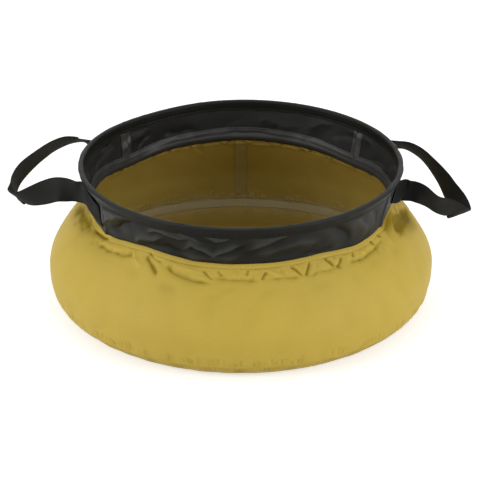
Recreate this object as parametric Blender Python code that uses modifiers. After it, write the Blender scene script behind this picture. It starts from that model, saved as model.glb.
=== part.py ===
"""Collapsible camp washbasin: a coated-nylon bowl hung from a wire hoop, with two webbing handles.

Run with: blender --background --python part.py
Units are metres, +Z is up, and the origin is on the ground under the middle of the bowl.
Azimuth is measured in degrees from the front (-Y) towards the right (+X).
"""

import bpy
import bmesh
from math import ceil, cos, degrees, exp, floor, pi, radians, sin, sqrt
from mathutils import Vector

# Driving sizes of the bowl
BOWL_RADIUS = 0.1990
BOWL_WIDEST_HEIGHT = 0.0437
BASE_SEAM_INSET = 0.0033
BASE_SEAM_HEIGHT = 0.0165
BASE_TURN_UP = 0.0268
NECK_HEIGHT = 0.1103
RIDGE_OUT = 0.0128
RIDGE_DROP = 0.0143

# Driving sizes of the collar and its hoop
RIM_RADIUS = 0.1640
COLLAR_HEIGHT = 0.0394
COLLAR_TAPER = 0.0083
NECK_DIP = 0.0060
HOOP_WIRE_RADIUS = 0.00125
HOOP_END_GAP = 0.0010
FERRULE_WALL = 0.00045
FERRULE_LENGTH = 0.024
CASING_LIP_REACH = 0.0085

# Cloth, tape and webbing
SKIRT_THICKNESS = 0.0006
SKIRT_TUCK = 0.006
BASE_THICKNESS = 0.0010
COLLAR_THICKNESS = 0.0010
CASING_THICKNESS = 0.00075
TAPE_THICKNESS = 0.0004
TAPE_WIDTH = 0.014
NECK_TAPE_RISE = 0.010
NECK_TAPE_FALL = 0.005
BASE_TAPE_RISE = 0.0040
BASE_TAPE_FALL = 0.0080
WEBBING_WIDTH = 0.025
WEBBING_THICKNESS = 0.0016
WEBBING_EDGE = 0.0004

# Handles
HANDLE_REACH = 0.069
HANDLE_END_LENGTH = 0.0324
HANDLE_TOP_DROP = 0.004
HANDLE_FOLD_RADIUS = 0.0030

# Clearance between neighbouring pieces
CLEARANCE = 0.0003

# Heights of the cloth folds
GATHER_HEIGHT = 0.0024
WRINKLE_HEIGHT = 0.0017

# How finely round pieces are divided, and where the collar's panels meet and dip
SEGMENTS = 72
STEP = 360.0 / SEGMENTS
SEAM_AZIMUTH = 65.0
REAR_SEAM_AZIMUTH = 128.0
DIP_AZIMUTH = 62.0
DIP_SPREAD = 17.0

# Places worked out from the driving sizes
NECK_RADIUS = RIM_RADIUS - COLLAR_TAPER
RIM_HEIGHT = NECK_HEIGHT + COLLAR_HEIGHT
RIM_CENTRE = Vector((RIM_RADIUS, RIM_HEIGHT))
BASE_SEAM_RADIUS = BOWL_RADIUS - BASE_SEAM_INSET
BASE_FLAT_RADIUS = BASE_SEAM_RADIUS - BASE_TURN_UP
COLLAR_LENGTH = sqrt(COLLAR_TAPER ** 2 + COLLAR_HEIGHT ** 2)
COLLAR_DOWN = Vector((-COLLAR_TAPER, -COLLAR_HEIGHT)) / COLLAR_LENGTH
COLLAR_OUT = Vector((COLLAR_HEIGHT, -COLLAR_TAPER)) / COLLAR_LENGTH
FERRULE_RADIUS = HOOP_WIRE_RADIUS + CLEARANCE + FERRULE_WALL
CASING_BORE = FERRULE_RADIUS + CLEARANCE
CASING_RADIUS = CASING_BORE + CASING_THICKNESS
SLOT_HALF = COLLAR_THICKNESS / 2 + CLEARANCE
LIP_HALF = SLOT_HALF + CASING_THICKNESS
RIDGE_NORMAL = Vector((RIDGE_DROP, RIDGE_OUT)).normalized()

# Where the handles' sewn ends lie: the webbing's middle height and its middle line on the collar,
# how far before and behind the bowl's middle its two ends fold outwards, and the radius of the
# line that the loop bends on
HANDLE_MIDDLE = RIM_HEIGHT - HANDLE_TOP_DROP - WEBBING_WIDTH / 2
HANDLE_TAB = (RIM_CENTRE + COLLAR_DOWN * ((RIM_HEIGHT - HANDLE_MIDDLE) / -COLLAR_DOWN.y)
              + COLLAR_OUT * (LIP_HALF + CLEARANCE + WEBBING_THICKNESS / 2))
FRONT_SPAN = HANDLE_TAB.x * cos(radians(SEAM_AZIMUTH)) - HANDLE_END_LENGTH
REAR_SPAN = HANDLE_TAB.x * cos(radians(180.0 - REAR_SEAM_AZIMUTH)) - HANDLE_END_LENGTH
HINGE_RADIUS = RIM_RADIUS + CASING_RADIUS + CLEARANCE

# Shares that shape the bowl's side between its named places: out and down from start to end
SHOULDER_SHARES = ((0.33, 0.20), (1.0, 0.69))
UNDER_SHARES = ((0.0, 0.62), (0.35, 0.85))
TURN_UP_SHARES = ((0.45, 0.0), (0.82, 0.52))
SHOULDER_ROW_SHARES = (0.34, 0.68, 1.0)
UNDER_ROW_SHARES = (0.5, 1.0)
TURN_ROW_SHARES = (0.3, 0.6, 1.0)
COLLAR_ROW_SHARES = (0.0, 0.22, 0.44, 0.66, 0.84, 1.0)

# Cloth folds: the share of their height at each row (for the gathers, below the ridge), and waves
# as (count, phase, share of height)
GATHER_ROW_SHARES = (0.7, 0.2, 0.0, 0.0, 0.0)
WRINKLE_ROW_SHARES = (0.0, 0.0, 0.7, 1.0, 0.3, 0.0, 0.0)
GATHER_WAVE_SHARES = ((13, 0.6, 0.5), (19, 2.1, 0.45), (7, 4.0, 0.25))
WRINKLE_WAVE_SHARES = ((7, 0.9, 0.6), (12, 2.6, 0.5))
WRINKLE_SLANT_SHARE = 2.4

# Each handle from its front end round to its rear end: share of the reach, share of the front
# span, rise as a share of the webbing's width, and the lean of its upper edge in degrees
HANDLE_PLACE_SHARES = {
    "left": (
        (0.000, -1.00, 0.00, -14), (0.120, -1.01, 0.04, -2), (0.237, -1.04, 0.10, 10),
        (0.335, -1.01, 0.04, 12), (0.470, -1.03, -0.05, 0), (0.687, -1.06, -0.15, -16),
        (0.895, -0.76, -0.04, 0), (0.985, -0.33, 0.06, 14), (0.945, -0.03, 0.10, 22),
        (0.817, 0.35, 0.17, 18), (0.637, 0.93, 0.33, 20), (0.453, 1.43, 0.37, 30),
        (0.285, 1.86, 0.32, 40), (0.110, 2.09, 0.33, 51), (0.000, 2.08, 0.32, 55),
    ),
    "right": (
        (0.000, -1.00, 0.00, -14), (0.085, -0.99, -0.01, -10), (0.214, -1.05, -0.12, -14),
        (0.415, -1.14, -0.31, -27), (0.588, -1.02, -0.46, -12), (0.739, -0.82, -0.78, 8),
        (0.862, -0.50, -0.91, 20), (0.923, -0.22, -0.92, 26), (0.855, 0.05, -0.87, 26),
        (0.638, 0.57, -0.53, 24), (0.480, 0.98, -0.25, 42), (0.410, 1.34, 0.05, 58),
        (0.285, 1.65, 0.18, 54), (0.145, 1.88, 0.21, 46), (0.000, 2.04, 0.25, 46),
    ),
}
TAB_ROW_SHARES = (0.0, 0.25, 0.5, 0.75, 1.0)
END_TURN_SHARES = (0.0, 0.34, 0.67, 1.0)
HANDLE_SAMPLES = 2
CASING_FACES = 7
FERRULE_SIDES = 10

YELLOW_CLOTH = (0.456, 0.366, 0.075)
BLACK_CLOTH = (0.030, 0.030, 0.028)
BLACK_WEBBING = (0.022, 0.022, 0.021)
CLEAR_TAPE = (0.30, 0.29, 0.25)
STEEL = (0.62, 0.62, 0.60)


def remove_everything():
    for obj in list(bpy.data.objects):
        bpy.data.objects.remove(obj, do_unlink=True)


def make_collection(name):
    collection = bpy.data.collections.new(name)
    bpy.context.scene.collection.children.link(collection)
    return collection


def make_material(name, colour, roughness, metallic):
    material = bpy.data.materials.new(name)
    material.use_nodes = True
    shader = material.node_tree.nodes["Principled BSDF"]
    shader.inputs["Base Color"].default_value = (*colour, 1.0)
    shader.inputs["Roughness"].default_value = roughness
    shader.inputs["Metallic"].default_value = metallic
    return material


def add_piece(name, data, colour, roughness=0.6, metallic=0.0):
    obj = bpy.data.objects.new(name, data)
    bpy.data.collections["camp_washbasin"].objects.link(obj)
    data.materials.append(make_material(name, colour, roughness, metallic))
    return obj


def add_joint(name, place):
    """An empty on a joint's axis, for the pieces that it moves."""
    empty = bpy.data.objects.new(name, None)
    bpy.data.collections["camp_washbasin"].objects.link(empty)
    empty.location = place
    return empty


def carry(empty, pieces):
    """Parents pieces to a joint's empty without moving them."""
    for piece in pieces:
        piece.parent = empty
        piece.location = -empty.location


def shade(obj, sharp_angle):
    obj.data.shade_smooth()
    obj.data.set_sharp_from_angle(angle=radians(sharp_angle))


# Lines in the plane of radius and height

def around(point, azimuth):
    """A point of a profile (radius, height) carried round to an azimuth."""
    turn = radians(azimuth)
    return Vector((point.x * sin(turn), -point.x * cos(turn), point.y))


def bezier(start, first, second, end, share):
    rest = 1.0 - share
    return (start * rest ** 3 + first * (3 * rest ** 2 * share)
            + second * (3 * rest * share ** 2) + end * share ** 3)


def side_curve(start, end, handle_shares, row_shares):
    """Points after the start of a smooth side between two profile points."""
    span = end - start
    first, second = (start + Vector((span.x * out, span.y * down)) for out, down in handle_shares)
    return [bezier(start, first, second, end, share) for share in row_shares]


def offset_line(points, distance):
    """The same open line moved sideways by a distance, to the left of its direction."""
    moved = []
    for i, point in enumerate(points):
        sides = []
        for a, b in zip(points[max(i - 1, 0):i + 1], points[max(i, 1):i + 2]):
            along = (b - a).normalized()
            sides.append(Vector((-along.y, along.x)))
        side = (sides[0] + sides[-1]).normalized()
        moved.append(point + side * (distance / side.dot(sides[0])))
    return moved


def line_length(points):
    return sum((b - a).length for a, b in zip(points, points[1:]))


def cut_line(points, trim_start, trim_end):
    """An open line with a length taken off each end."""
    first, last = trim_start, line_length(points) - trim_end
    kept, passed = [], 0.0
    for a, b in zip(points, points[1:]):
        length = (b - a).length
        low, high = max(first, passed), min(last, passed + length)
        if low < high:
            kept += [a.lerp(b, (at - passed) / length) for at in ((low, high) if not kept else (high,))]
        passed += length
    return kept


def thick_outline(line, thickness):
    """A closed outline: the line, and back along the same line moved sideways."""
    return list(line) + list(reversed(offset_line(line, thickness)))


def waves(table, azimuth, drift=0.0):
    return sum(part * sin(count * radians(azimuth) + phase + drift) for count, phase, part in table)


# Columns of points at an azimuth, from the upper edge down

def column_of(profile, sideways=0.0, trim_top=0.0, trim_bottom=0.0):
    def column(azimuth):
        line = offset_line(profile(azimuth), sideways) if sideways else profile(azimuth)
        if trim_top or trim_bottom:
            line = cut_line(line, trim_top, trim_bottom)
        return [around(point, azimuth) for point in line]
    return column


def on_facets(column, azimuth):
    """A column at any azimuth, on the flat facets between the round division's columns."""
    low = floor(azimuth / STEP) * STEP
    share = (azimuth - low) / STEP
    return [a.lerp(b, share) for a, b in zip(column(low), column(low + STEP))]


def columns_between(column, start, end):
    """Columns from one azimuth to another, with every one of the round division between them."""
    inner = [STEP * i for i in range(ceil(start / STEP), floor(end / STEP) + 1)]
    inner = [azimuth for azimuth in inner if start < azimuth < end]
    return [on_facets(column, azimuth) for azimuth in (start, *inner, end)]


def columns_all_round(column):
    return [column(STEP * i) for i in range(SEGMENTS)]


# Solids

def sheet_piece(name, columns, thickness, colour, closed=False):
    """A cloth piece from columns of points, thickened evenly to both sides."""
    bm = bmesh.new()
    grid = [[bm.verts.new(point) for point in column] for column in columns]
    following = grid[1:] + grid[:1] if closed else grid[1:]
    for left, right in zip(grid, following):
        for row in range(len(left) - 1):
            bm.faces.new((left[row], left[row + 1], right[row + 1], right[row]))
    mesh = bpy.data.meshes.new(name)
    bm.to_mesh(mesh)
    bm.free()
    obj = add_piece(name, mesh, colour)
    cloth = obj.modifiers.new("Cloth", "SOLIDIFY")
    cloth.thickness = thickness
    cloth.offset = 0.0
    cloth.use_even_offset = True
    shade(obj, 60.0)
    return obj


def turned_piece(name, outline, colour):
    """A closed outline of (radius, height) turned round the upright axis."""
    mesh = bpy.data.meshes.new(name)
    count = len(outline)
    mesh.from_pydata([(p.x, 0.0, p.y) for p in outline], [(i, (i + 1) % count) for i in range(count)], [])
    obj = add_piece(name, mesh, colour)
    turn = obj.modifiers.new("Turn", "SCREW")
    turn.axis = "Z"
    turn.angle = 2 * pi
    turn.steps = SEGMENTS
    turn.render_steps = SEGMENTS
    turn.use_merge_vertices = True
    turn.merge_threshold = CLEARANCE / 10
    return obj


def strap_piece(name, stations, colour):
    """Webbing along stations of (centre, across its width, out of its face)."""
    half, thin, edge = WEBBING_WIDTH / 2, WEBBING_THICKNESS / 2, WEBBING_EDGE
    section = [(edge - half, -thin), (half - edge, -thin), (half, edge - thin), (half, thin - edge),
               (half - edge, thin), (edge - half, thin), (-half, thin - edge), (-half, edge - thin)]
    bm = bmesh.new()
    rings = [[bm.verts.new(centre + across * u + face * v) for u, v in section]
             for centre, across, face in stations]
    for ring, after in zip(rings, rings[1:]):
        for k, vert in enumerate(ring):
            next_k = (k + 1) % len(ring)
            bm.faces.new((vert, ring[next_k], after[next_k], after[k]))
    bm.faces.new(rings[0])
    bm.faces.new(rings[-1])
    bmesh.ops.recalc_face_normals(bm, faces=bm.faces)
    mesh = bpy.data.meshes.new(name)
    bm.to_mesh(mesh)
    bm.free()
    obj = add_piece(name, mesh, colour)
    shade(obj, 40.0)
    return obj


# The bowl's lines

def neck_dip(azimuth):
    """How far the collar's lower edge is drawn down near the panel seams."""
    turn = abs((azimuth + 180.0) % 360.0 - 180.0)
    rear_dip = REAR_SEAM_AZIMUTH + SEAM_AZIMUTH - DIP_AZIMUTH
    near = min(abs(turn - DIP_AZIMUTH), abs(turn - rear_dip))
    return NECK_DIP * exp(-(near / DIP_SPREAD) ** 2)


def wrinkle_fade(azimuth):
    """0 over the panel seams and the side panels, and 1 in mid front and mid rear."""
    turn = abs((azimuth + 180.0) % 360.0 - 180.0)
    from_seam = max(SEAM_AZIMUTH - turn, turn - REAR_SEAM_AZIMUTH)
    return max(0.0, min(1.0, (from_seam - STEP) / (4 * STEP)))


def collar_lip_point():
    """Where the collar comes out of the casing's lips."""
    return RIM_CENTRE + COLLAR_DOWN * (CASING_LIP_REACH + CLEARANCE)


def neck_point(azimuth):
    return Vector((NECK_RADIUS, NECK_HEIGHT - neck_dip(azimuth)))


def collar_profile(azimuth):
    """The collar's middle line from its top edge, between the lips, down to the neck."""
    top = RIM_CENTRE + COLLAR_DOWN * (CASING_BORE + CLEARANCE)
    lip, neck = collar_lip_point(), neck_point(azimuth)
    line = [top] + [lip.lerp(neck, share) for share in COLLAR_ROW_SHARES]
    bent = []
    for row, (point, share) in enumerate(zip(line, WRINKLE_ROW_SHARES)):
        wave = waves(WRINKLE_WAVE_SHARES, azimuth, row * WRINKLE_SLANT_SHARE / len(line))
        bent.append(point + COLLAR_OUT * (WRINKLE_HEIGHT * share * wave * wrinkle_fade(azimuth)))
    return bent


def flat_ridge_point(azimuth):
    """Where the skirt turns from the neck's slope to the bowl's side, without its gathers."""
    return Vector((NECK_RADIUS + RIDGE_OUT, NECK_HEIGHT - RIDGE_DROP - neck_dip(azimuth) / 2))


def gather(azimuth):
    return RIDGE_NORMAL * (GATHER_HEIGHT * waves(GATHER_WAVE_SHARES, azimuth))


def neck_line(azimuth, rise):
    """The skirt's middle line from inside the collar, over the neck, to the neck tape's lower edge."""
    inset = COLLAR_THICKNESS / 2 + CLEARANCE + SKIRT_THICKNESS / 2
    edge = neck_point(azimuth)
    up = (collar_lip_point() - edge).normalized()
    neck = edge - Vector((inset, CLEARANCE))
    slope = (flat_ridge_point(azimuth) + gather(azimuth) - neck).normalized()
    return [neck + up * rise, neck, neck + slope * NECK_TAPE_FALL]


def skirt_profile(azimuth):
    """The skirt's middle line, from its tucked top edge over the neck and down to the base seam."""
    widest = Vector((BOWL_RADIUS, BOWL_WIDEST_HEIGHT))
    seam = Vector((BASE_SEAM_RADIUS, BASE_SEAM_HEIGHT + CLEARANCE / 2))
    ridge = flat_ridge_point(azimuth)
    line = side_curve(ridge, widest, SHOULDER_SHARES, SHOULDER_ROW_SHARES)
    line += side_curve(widest, seam, UNDER_SHARES, UNDER_ROW_SHARES)
    lower = [point + gather(azimuth) * share for point, share in zip(line, GATHER_ROW_SHARES)]
    return neck_line(azimuth, SKIRT_TUCK) + [ridge + gather(azimuth)] + lower


def neck_tape_profile(azimuth):
    line = neck_line(azimuth, NECK_TAPE_RISE)
    return offset_line(line, -(SKIRT_THICKNESS / 2 + CLEARANCE + TAPE_THICKNESS / 2))


def base_profile():
    """The base panel's outer face, from the base seam down and in to the middle."""
    flat = Vector((BASE_FLAT_RADIUS, 0.0))
    seam = Vector((BASE_SEAM_RADIUS, BASE_SEAM_HEIGHT - CLEARANCE / 2))
    turn = side_curve(flat, seam, TURN_UP_SHARES, TURN_ROW_SHARES)
    return list(reversed(turn)) + [flat, Vector((0.0, 0.0))]


# The pieces of the bowl

def base_pieces():
    turned_piece("base_panel", thick_outline(base_profile(), -BASE_THICKNESS), YELLOW_CLOTH)
    base_line = offset_line(base_profile(), -(BASE_THICKNESS + CLEARANCE))
    fall = cut_line(base_line, 0.0, line_length(base_line) - BASE_TAPE_FALL)
    skirt_line = offset_line(skirt_profile(0.0), -(SKIRT_THICKNESS / 2 + CLEARANCE))
    rise = cut_line(skirt_line, line_length(skirt_line) - BASE_TAPE_RISE, 0.0)
    meeting = Vector((min(rise[-1].x, fall[0].x), fall[0].y))
    line = rise[:-1] + [meeting] + fall[1:]
    turned_piece("base_seam_tape", thick_outline(line, -TAPE_THICKNESS), CLEAR_TAPE)


def skirt_pieces():
    columns = columns_all_round(column_of(skirt_profile))
    sheet_piece("skirt_panel", columns, SKIRT_THICKNESS, YELLOW_CLOTH, closed=True)
    column = column_of(skirt_profile, -(SKIRT_THICKNESS / 2 + CLEARANCE + TAPE_THICKNESS / 2),
                       SKIRT_TUCK + NECK_TAPE_FALL + TAPE_WIDTH / 4, BASE_TAPE_RISE + TAPE_WIDTH / 8)
    half_turn = degrees(TAPE_WIDTH / 2 / BOWL_RADIUS)
    columns = columns_between(column, 180.0 - half_turn, 180.0 + half_turn)
    sheet_piece("skirt_seam_tape", columns, TAPE_THICKNESS, CLEAR_TAPE)


# The pieces of the collar

def collar_panels():
    half_gap = degrees(CLEARANCE / 2 / NECK_RADIUS)
    spans = {
        "front": (-SEAM_AZIMUTH, SEAM_AZIMUTH),
        "right": (SEAM_AZIMUTH, REAR_SEAM_AZIMUTH),
        "rear": (REAR_SEAM_AZIMUTH, 360.0 - REAR_SEAM_AZIMUTH),
        "left": (-REAR_SEAM_AZIMUTH, -SEAM_AZIMUTH),
    }
    return [sheet_piece(f"collar_{side}_panel",
                        columns_between(column_of(collar_profile), start + half_gap, end - half_gap),
                        COLLAR_THICKNESS, BLACK_CLOTH)
            for side, (start, end) in spans.items()]


def collar_seam_tapes():
    """Strips inside the collar, over the four seams between its panels."""
    sideways = -(COLLAR_THICKNESS / 2 + CLEARANCE + TAPE_THICKNESS / 2)
    trim_top = CASING_LIP_REACH - CASING_BORE + CLEARANCE
    column = column_of(collar_profile, sideways, trim_top, NECK_TAPE_RISE + CLEARANCE)
    half_turn = degrees(TAPE_WIDTH / 2 / NECK_RADIUS)
    seams = {
        "front_left": -SEAM_AZIMUTH,
        "front_right": SEAM_AZIMUTH,
        "rear_left": -REAR_SEAM_AZIMUTH,
        "rear_right": REAR_SEAM_AZIMUTH,
    }
    return [sheet_piece(f"collar_seam_tape_{place}",
                        columns_between(column, azimuth - half_turn, azimuth + half_turn),
                        TAPE_THICKNESS, CLEAR_TAPE)
            for place, azimuth in seams.items()]


def neck_seam_tape():
    columns = columns_all_round(column_of(neck_tape_profile))
    return sheet_piece("neck_seam_tape", columns, TAPE_THICKNESS, CLEAR_TAPE, closed=True)


def in_casing(out, up):
    """A point of the casing's section, given from the hoop's middle."""
    return RIM_CENTRE + COLLAR_OUT * out - COLLAR_DOWN * up


def casing_arc(radius, half_width, sign):
    """Round the hoop from one lip to the other, over the top."""
    reach = pi - abs(half_width / radius)
    turns = [sign * reach * (2 * i / CASING_FACES - 1) for i in range(CASING_FACES + 1)]
    return [in_casing(radius * sin(turn), radius * cos(turn)) for turn in turns]


def rim_casing():
    """A cloth strip folded over the hoop, whose two lips take the collar's top edge between them."""
    outer = casing_arc(CASING_RADIUS, LIP_HALF, 1)
    bore = casing_arc(CASING_BORE, SLOT_HALF, -1)
    lip = -CASING_LIP_REACH
    outer_lip = [in_casing(LIP_HALF, lip), in_casing(SLOT_HALF, lip)]
    inner_lip = [in_casing(-SLOT_HALF, lip), in_casing(-LIP_HALF, lip)]
    return turned_piece("rim_casing", outer + outer_lip + bore + inner_lip, BLACK_CLOTH)


def on_hoop(azimuth):
    """A point of the hoop's middle line, which is straight between the round division's points."""
    return on_facets(lambda turn: [around(RIM_CENTRE, turn)], azimuth)[0]


def rim_hoop():
    """One length of wire bent round, its two ends facing each other at the rear."""
    end_turn = degrees(HOOP_END_GAP / 2 / RIM_RADIUS)
    inner = [STEP * i - 180.0 for i in range(1, SEGMENTS)]
    route = [on_hoop(azimuth) for azimuth in (end_turn - 180.0, *inner, 180.0 - end_turn)]
    curve = bpy.data.curves.new("rim_hoop", "CURVE")
    curve.dimensions = "3D"
    curve.bevel_depth = HOOP_WIRE_RADIUS
    curve.bevel_resolution = 2
    curve.use_fill_caps = True
    spline = curve.splines.new("POLY")
    spline.points.add(len(route) - 1)
    for point, place in zip(spline.points, route):
        point.co = (*place, 1.0)
    return add_piece("rim_hoop", curve, STEEL, 0.3, 1.0)


def hoop_ferrule():
    """A sleeve crimped over the hoop's two ends."""
    half_turn = degrees(FERRULE_LENGTH / 2 / RIM_RADIUS)
    middle = FERRULE_RADIUS - FERRULE_WALL / 2
    columns = []
    for side in range(FERRULE_SIDES):
        turn = 2 * pi * side / FERRULE_SIDES
        out, up = middle * sin(turn), middle * cos(turn)
        columns.append([on_facets(lambda a: [around(RIM_CENTRE + Vector((out, up)), a)], azimuth)[0]
                        for azimuth in (180.0 - half_turn, 180.0, 180.0 + half_turn)])
    return sheet_piece("hoop_ferrule", columns, FERRULE_WALL, STEEL, closed=True)


# The handles

def station(centre, ahead, lean):
    """A webbing section that faces to the right of its way, its upper edge leant that way."""
    ahead = ahead.normalized()
    face = ahead.cross(Vector((0.0, 0.0, 1.0))).normalized()
    up = face.cross(ahead)
    turn = radians(lean)
    return centre, up * cos(turn) + face * sin(turn), face * cos(turn) - up * sin(turn)


def mirrored(stations, across_x, across_y):
    flip = Vector((-1.0 if across_x else 1.0, -1.0 if across_y else 1.0, 1.0))
    return [tuple(vector * flip for vector in place) for place in stations]


def handle_end_stations(side, end):
    """A front right end, sewn along the collar from the panel seam, folded outwards, and turning
    as the loop that it meets. A rear end is made the same way, to be mirrored."""
    front = end == "front"
    seam = SEAM_AZIMUTH if front else 180.0 - REAR_SEAM_AZIMUTH
    span = FRONT_SPAN if front else REAR_SPAN
    along, rise, lean = HANDLE_PLACE_SHARES[side][0 if front else -1][1:]
    tilt = degrees(COLLAR_TAPER / COLLAR_HEIGHT)
    fold_start = seam + degrees((HANDLE_END_LENGTH - HANDLE_FOLD_RADIUS) / HANDLE_TAB.x)
    first = seam + degrees(CLEARANCE / HANDLE_TAB.x)
    places = []
    for share in TAB_ROW_SHARES:
        azimuth = first + (fold_start - first) * share
        turn = radians(azimuth)
        places.append(station(around(HANDLE_TAB, azimuth), Vector((cos(turn), sin(turn), 0.0)), tilt))
    start = around(HANDLE_TAB, fold_start)
    turn = radians(fold_start)
    ahead = Vector((cos(turn), sin(turn), 0.0))
    out = Vector((1.0, 0.0, 0.0))
    corner = start + ahead * ((-span - start.y) / ahead.y) + out * WEBBING_THICKNESS
    fold_end = corner + out * HANDLE_FOLD_RADIUS
    fold_end.z = corner.z = HANDLE_MIDDLE
    halfway = (start + corner * 2.0 + fold_end) / 4.0
    places.append(station(halfway, ahead + out, tilt))
    hinge_end = Vector((HINGE_RADIUS - CLEARANCE / 2, -FRONT_SPAN * abs(along),
                        HANDLE_MIDDLE + WEBBING_WIDTH * rise))
    for share in END_TURN_SHARES:
        eased = share * share * (3.0 - 2.0 * share)
        place = fold_end.lerp(hinge_end, share)
        place.z = fold_end.z + (hinge_end.z - fold_end.z) * eased
        places.append(station(place, out, -lean * eased))
    return places


def catmull(points, i, share):
    """A point and its way on a smooth curve through points, in the span after point i."""
    a, b = points[max(i - 1, 0)], points[i]
    c, d = points[i + 1], points[min(i + 2, len(points) - 1)]
    place = (b * 2.0 + (c - a) * share + (a * 2.0 - b * 5.0 + c * 4.0 - d) * share ** 2
             + (b * 3.0 - a - c * 3.0 + d) * share ** 3) / 2.0
    way = ((c - a) + (a * 2.0 - b * 5.0 + c * 4.0 - d) * (2.0 * share)
           + (b * 3.0 - a - c * 3.0 + d) * (3.0 * share ** 2)) / 2.0
    return place, way


def handle_loop_stations(side):
    """The free loop, as it would be on the right, from its front end round to its rear end."""
    start = HINGE_RADIUS + CLEARANCE / 2
    points = [Vector((start + HANDLE_REACH * out, FRONT_SPAN * along,
                      HANDLE_MIDDLE + WEBBING_WIDTH * rise, lean))
              for out, along, rise, lean in HANDLE_PLACE_SHARES[side]]
    places = []
    for i in range(len(points) - 1):
        for step in range(HANDLE_SAMPLES):
            place, way = catmull(points, i, step / HANDLE_SAMPLES)
            ahead = Vector((1.0, 0.0, 0.0)) if i == step == 0 else way.to_3d()
            places.append(station(place.to_3d(), ahead, -place.w))
    places.append(station(points[-1].to_3d(), Vector((-1.0, 0.0, 0.0)), -points[-1].w))
    return places


def handle_ends():
    return [strap_piece(f"handle_end_{side}_{end}",
                        mirrored(handle_end_stations(side, end), side == "left", end == "rear"),
                        BLACK_WEBBING)
            for side in ("left", "right") for end in ("front", "rear")]


def build():
    remove_everything()
    make_collection("camp_washbasin")
    base_pieces()
    skirt_pieces()
    collar = collar_panels() + collar_seam_tapes()
    collar += [neck_seam_tape(), rim_casing(), rim_hoop(), hoop_ferrule()] + handle_ends()
    carry(add_joint("collapse_slide", Vector((0.0, 0.0, RIM_HEIGHT))), collar)
    for side, sign in (("left", -1.0), ("right", 1.0)):
        stations = mirrored(handle_loop_stations(side), side == "left", False)
        loop = strap_piece(f"handle_{side}", stations, BLACK_WEBBING)
        hinge = add_joint(f"handle_{side}_hinge", Vector((sign * HINGE_RADIUS, 0.0, RIM_HEIGHT)))
        carry(hinge, [loop])


build()
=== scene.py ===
"""The looks of the collapsible camp washbasin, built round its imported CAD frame.

Units are metres, +Z is up and the front faces -Y. Azimuth is measured in degrees from the front
towards +X. Tables of folds are in degrees round the bowl and millimetres along the cloth.
"""

from math import cos, degrees, pi, radians, sin

import bpy
import numpy as np
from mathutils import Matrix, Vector


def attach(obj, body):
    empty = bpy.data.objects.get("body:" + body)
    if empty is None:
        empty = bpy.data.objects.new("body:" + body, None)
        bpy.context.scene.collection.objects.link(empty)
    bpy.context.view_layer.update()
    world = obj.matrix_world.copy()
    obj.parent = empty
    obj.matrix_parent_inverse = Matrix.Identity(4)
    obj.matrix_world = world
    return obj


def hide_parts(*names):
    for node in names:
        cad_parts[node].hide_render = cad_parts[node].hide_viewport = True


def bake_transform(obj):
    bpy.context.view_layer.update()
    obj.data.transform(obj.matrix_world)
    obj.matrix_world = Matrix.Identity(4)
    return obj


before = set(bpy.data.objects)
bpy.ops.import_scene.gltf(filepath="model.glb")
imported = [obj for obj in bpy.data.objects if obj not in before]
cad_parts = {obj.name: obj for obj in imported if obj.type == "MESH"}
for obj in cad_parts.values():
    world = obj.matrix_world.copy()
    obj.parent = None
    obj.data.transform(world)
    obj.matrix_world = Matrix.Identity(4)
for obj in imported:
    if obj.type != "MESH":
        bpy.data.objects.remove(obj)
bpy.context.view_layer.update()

MM = 0.001
TURN = 2 * pi

# How finely lines and grids are divided, and how near points are welded
PROFILE_STEP = 0.25 * MM
ROUTE_STEP = 1.0 * MM
COLUMNS = 1280
COARSE_COLUMNS = 720
WELD_DISTANCE = 0.01 * MM
# The turn in degrees and the step along the cloth by which a surface's way is read
SMALL_TURN = 0.2
SMALL_STEP = 0.5 * MM

# The bowl's side in radius and height, as the CAD has it
NECK = np.array((0.1549, 0.1100))
RIDGE = np.array((0.1685, 0.0960))
WIDEST = np.array((0.1990, 0.0437))
BASE_SEAM = np.array((0.1957, 0.0165))
FLAT_EDGE = np.array((0.1689, 0.0))
SHOULDER_SHARES = ((0.33, 0.20), (1.0, 0.69))
UNDER_SHARES = ((0.0, 0.62), (0.35, 0.85))
TURN_UP_SHARES = ((0.45, 0.0), (0.82, 0.52))

# The collar, the casing and its hoop
RIM_RADIUS = 0.1640
RIM_HEIGHT = 0.1497
COLLAR_FOOT_RADIUS = 0.1559
COLLAR_FOOT_HEIGHT = 0.1103
COLLAR_SLOPE = (RIM_RADIUS - COLLAR_FOOT_RADIUS) / (RIM_HEIGHT - COLLAR_FOOT_HEIGHT)
COLLAR_TOP_DROP = 4.5 * MM
COLLAR_TOP = RIM_HEIGHT - COLLAR_TOP_DROP
CASING_RADIUS = 0.0029
CASING_LIP = 0.0085
CASING_LIP_HALF = 0.0016
# The casing's arc stops this far from straight down, in radians, and its hems turn in by this much
CASING_OPENING = 1.38
CASING_HEM = (0.9 * MM, 0.1 * MM)
CASING_STITCH_DROP = 0.0064
HOOP_WIRE_RADIUS = 0.00125
SEAM_AZIMUTH = 65.0
REAR_SEAM_AZIMUTH = 128.0
# The collar's four seams: azimuth at the foot and at the rim
SEAMS = {"front_left": (-60.8, -57.3), "front_right": (65.0, 66.5),
         "rear_right": (128.0, 128.0), "rear_left": (-128.0, -128.0)}

# Thicknesses and thread
SKIRT_THICKNESS = 0.0006
BASE_THICKNESS = 0.0009
COLLAR_THICKNESS = 0.0009
CASING_THICKNESS = 0.0006
TAPE_THICKNESS = 0.00022
TAPE_WIDTH = 0.014
TAPE_GAP = 0.0003
THREAD_RADIUS = 0.00022
STITCH_LENGTH = 0.0019
STITCH_PITCH = 0.0032
NECK_STITCH_RADIUS = 0.1575

# Widths of the turned-in edges beside the neck seam and the base seam
NECK_WELT = 5.6 * MM
BASE_WELT = 4.0 * MM

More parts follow.
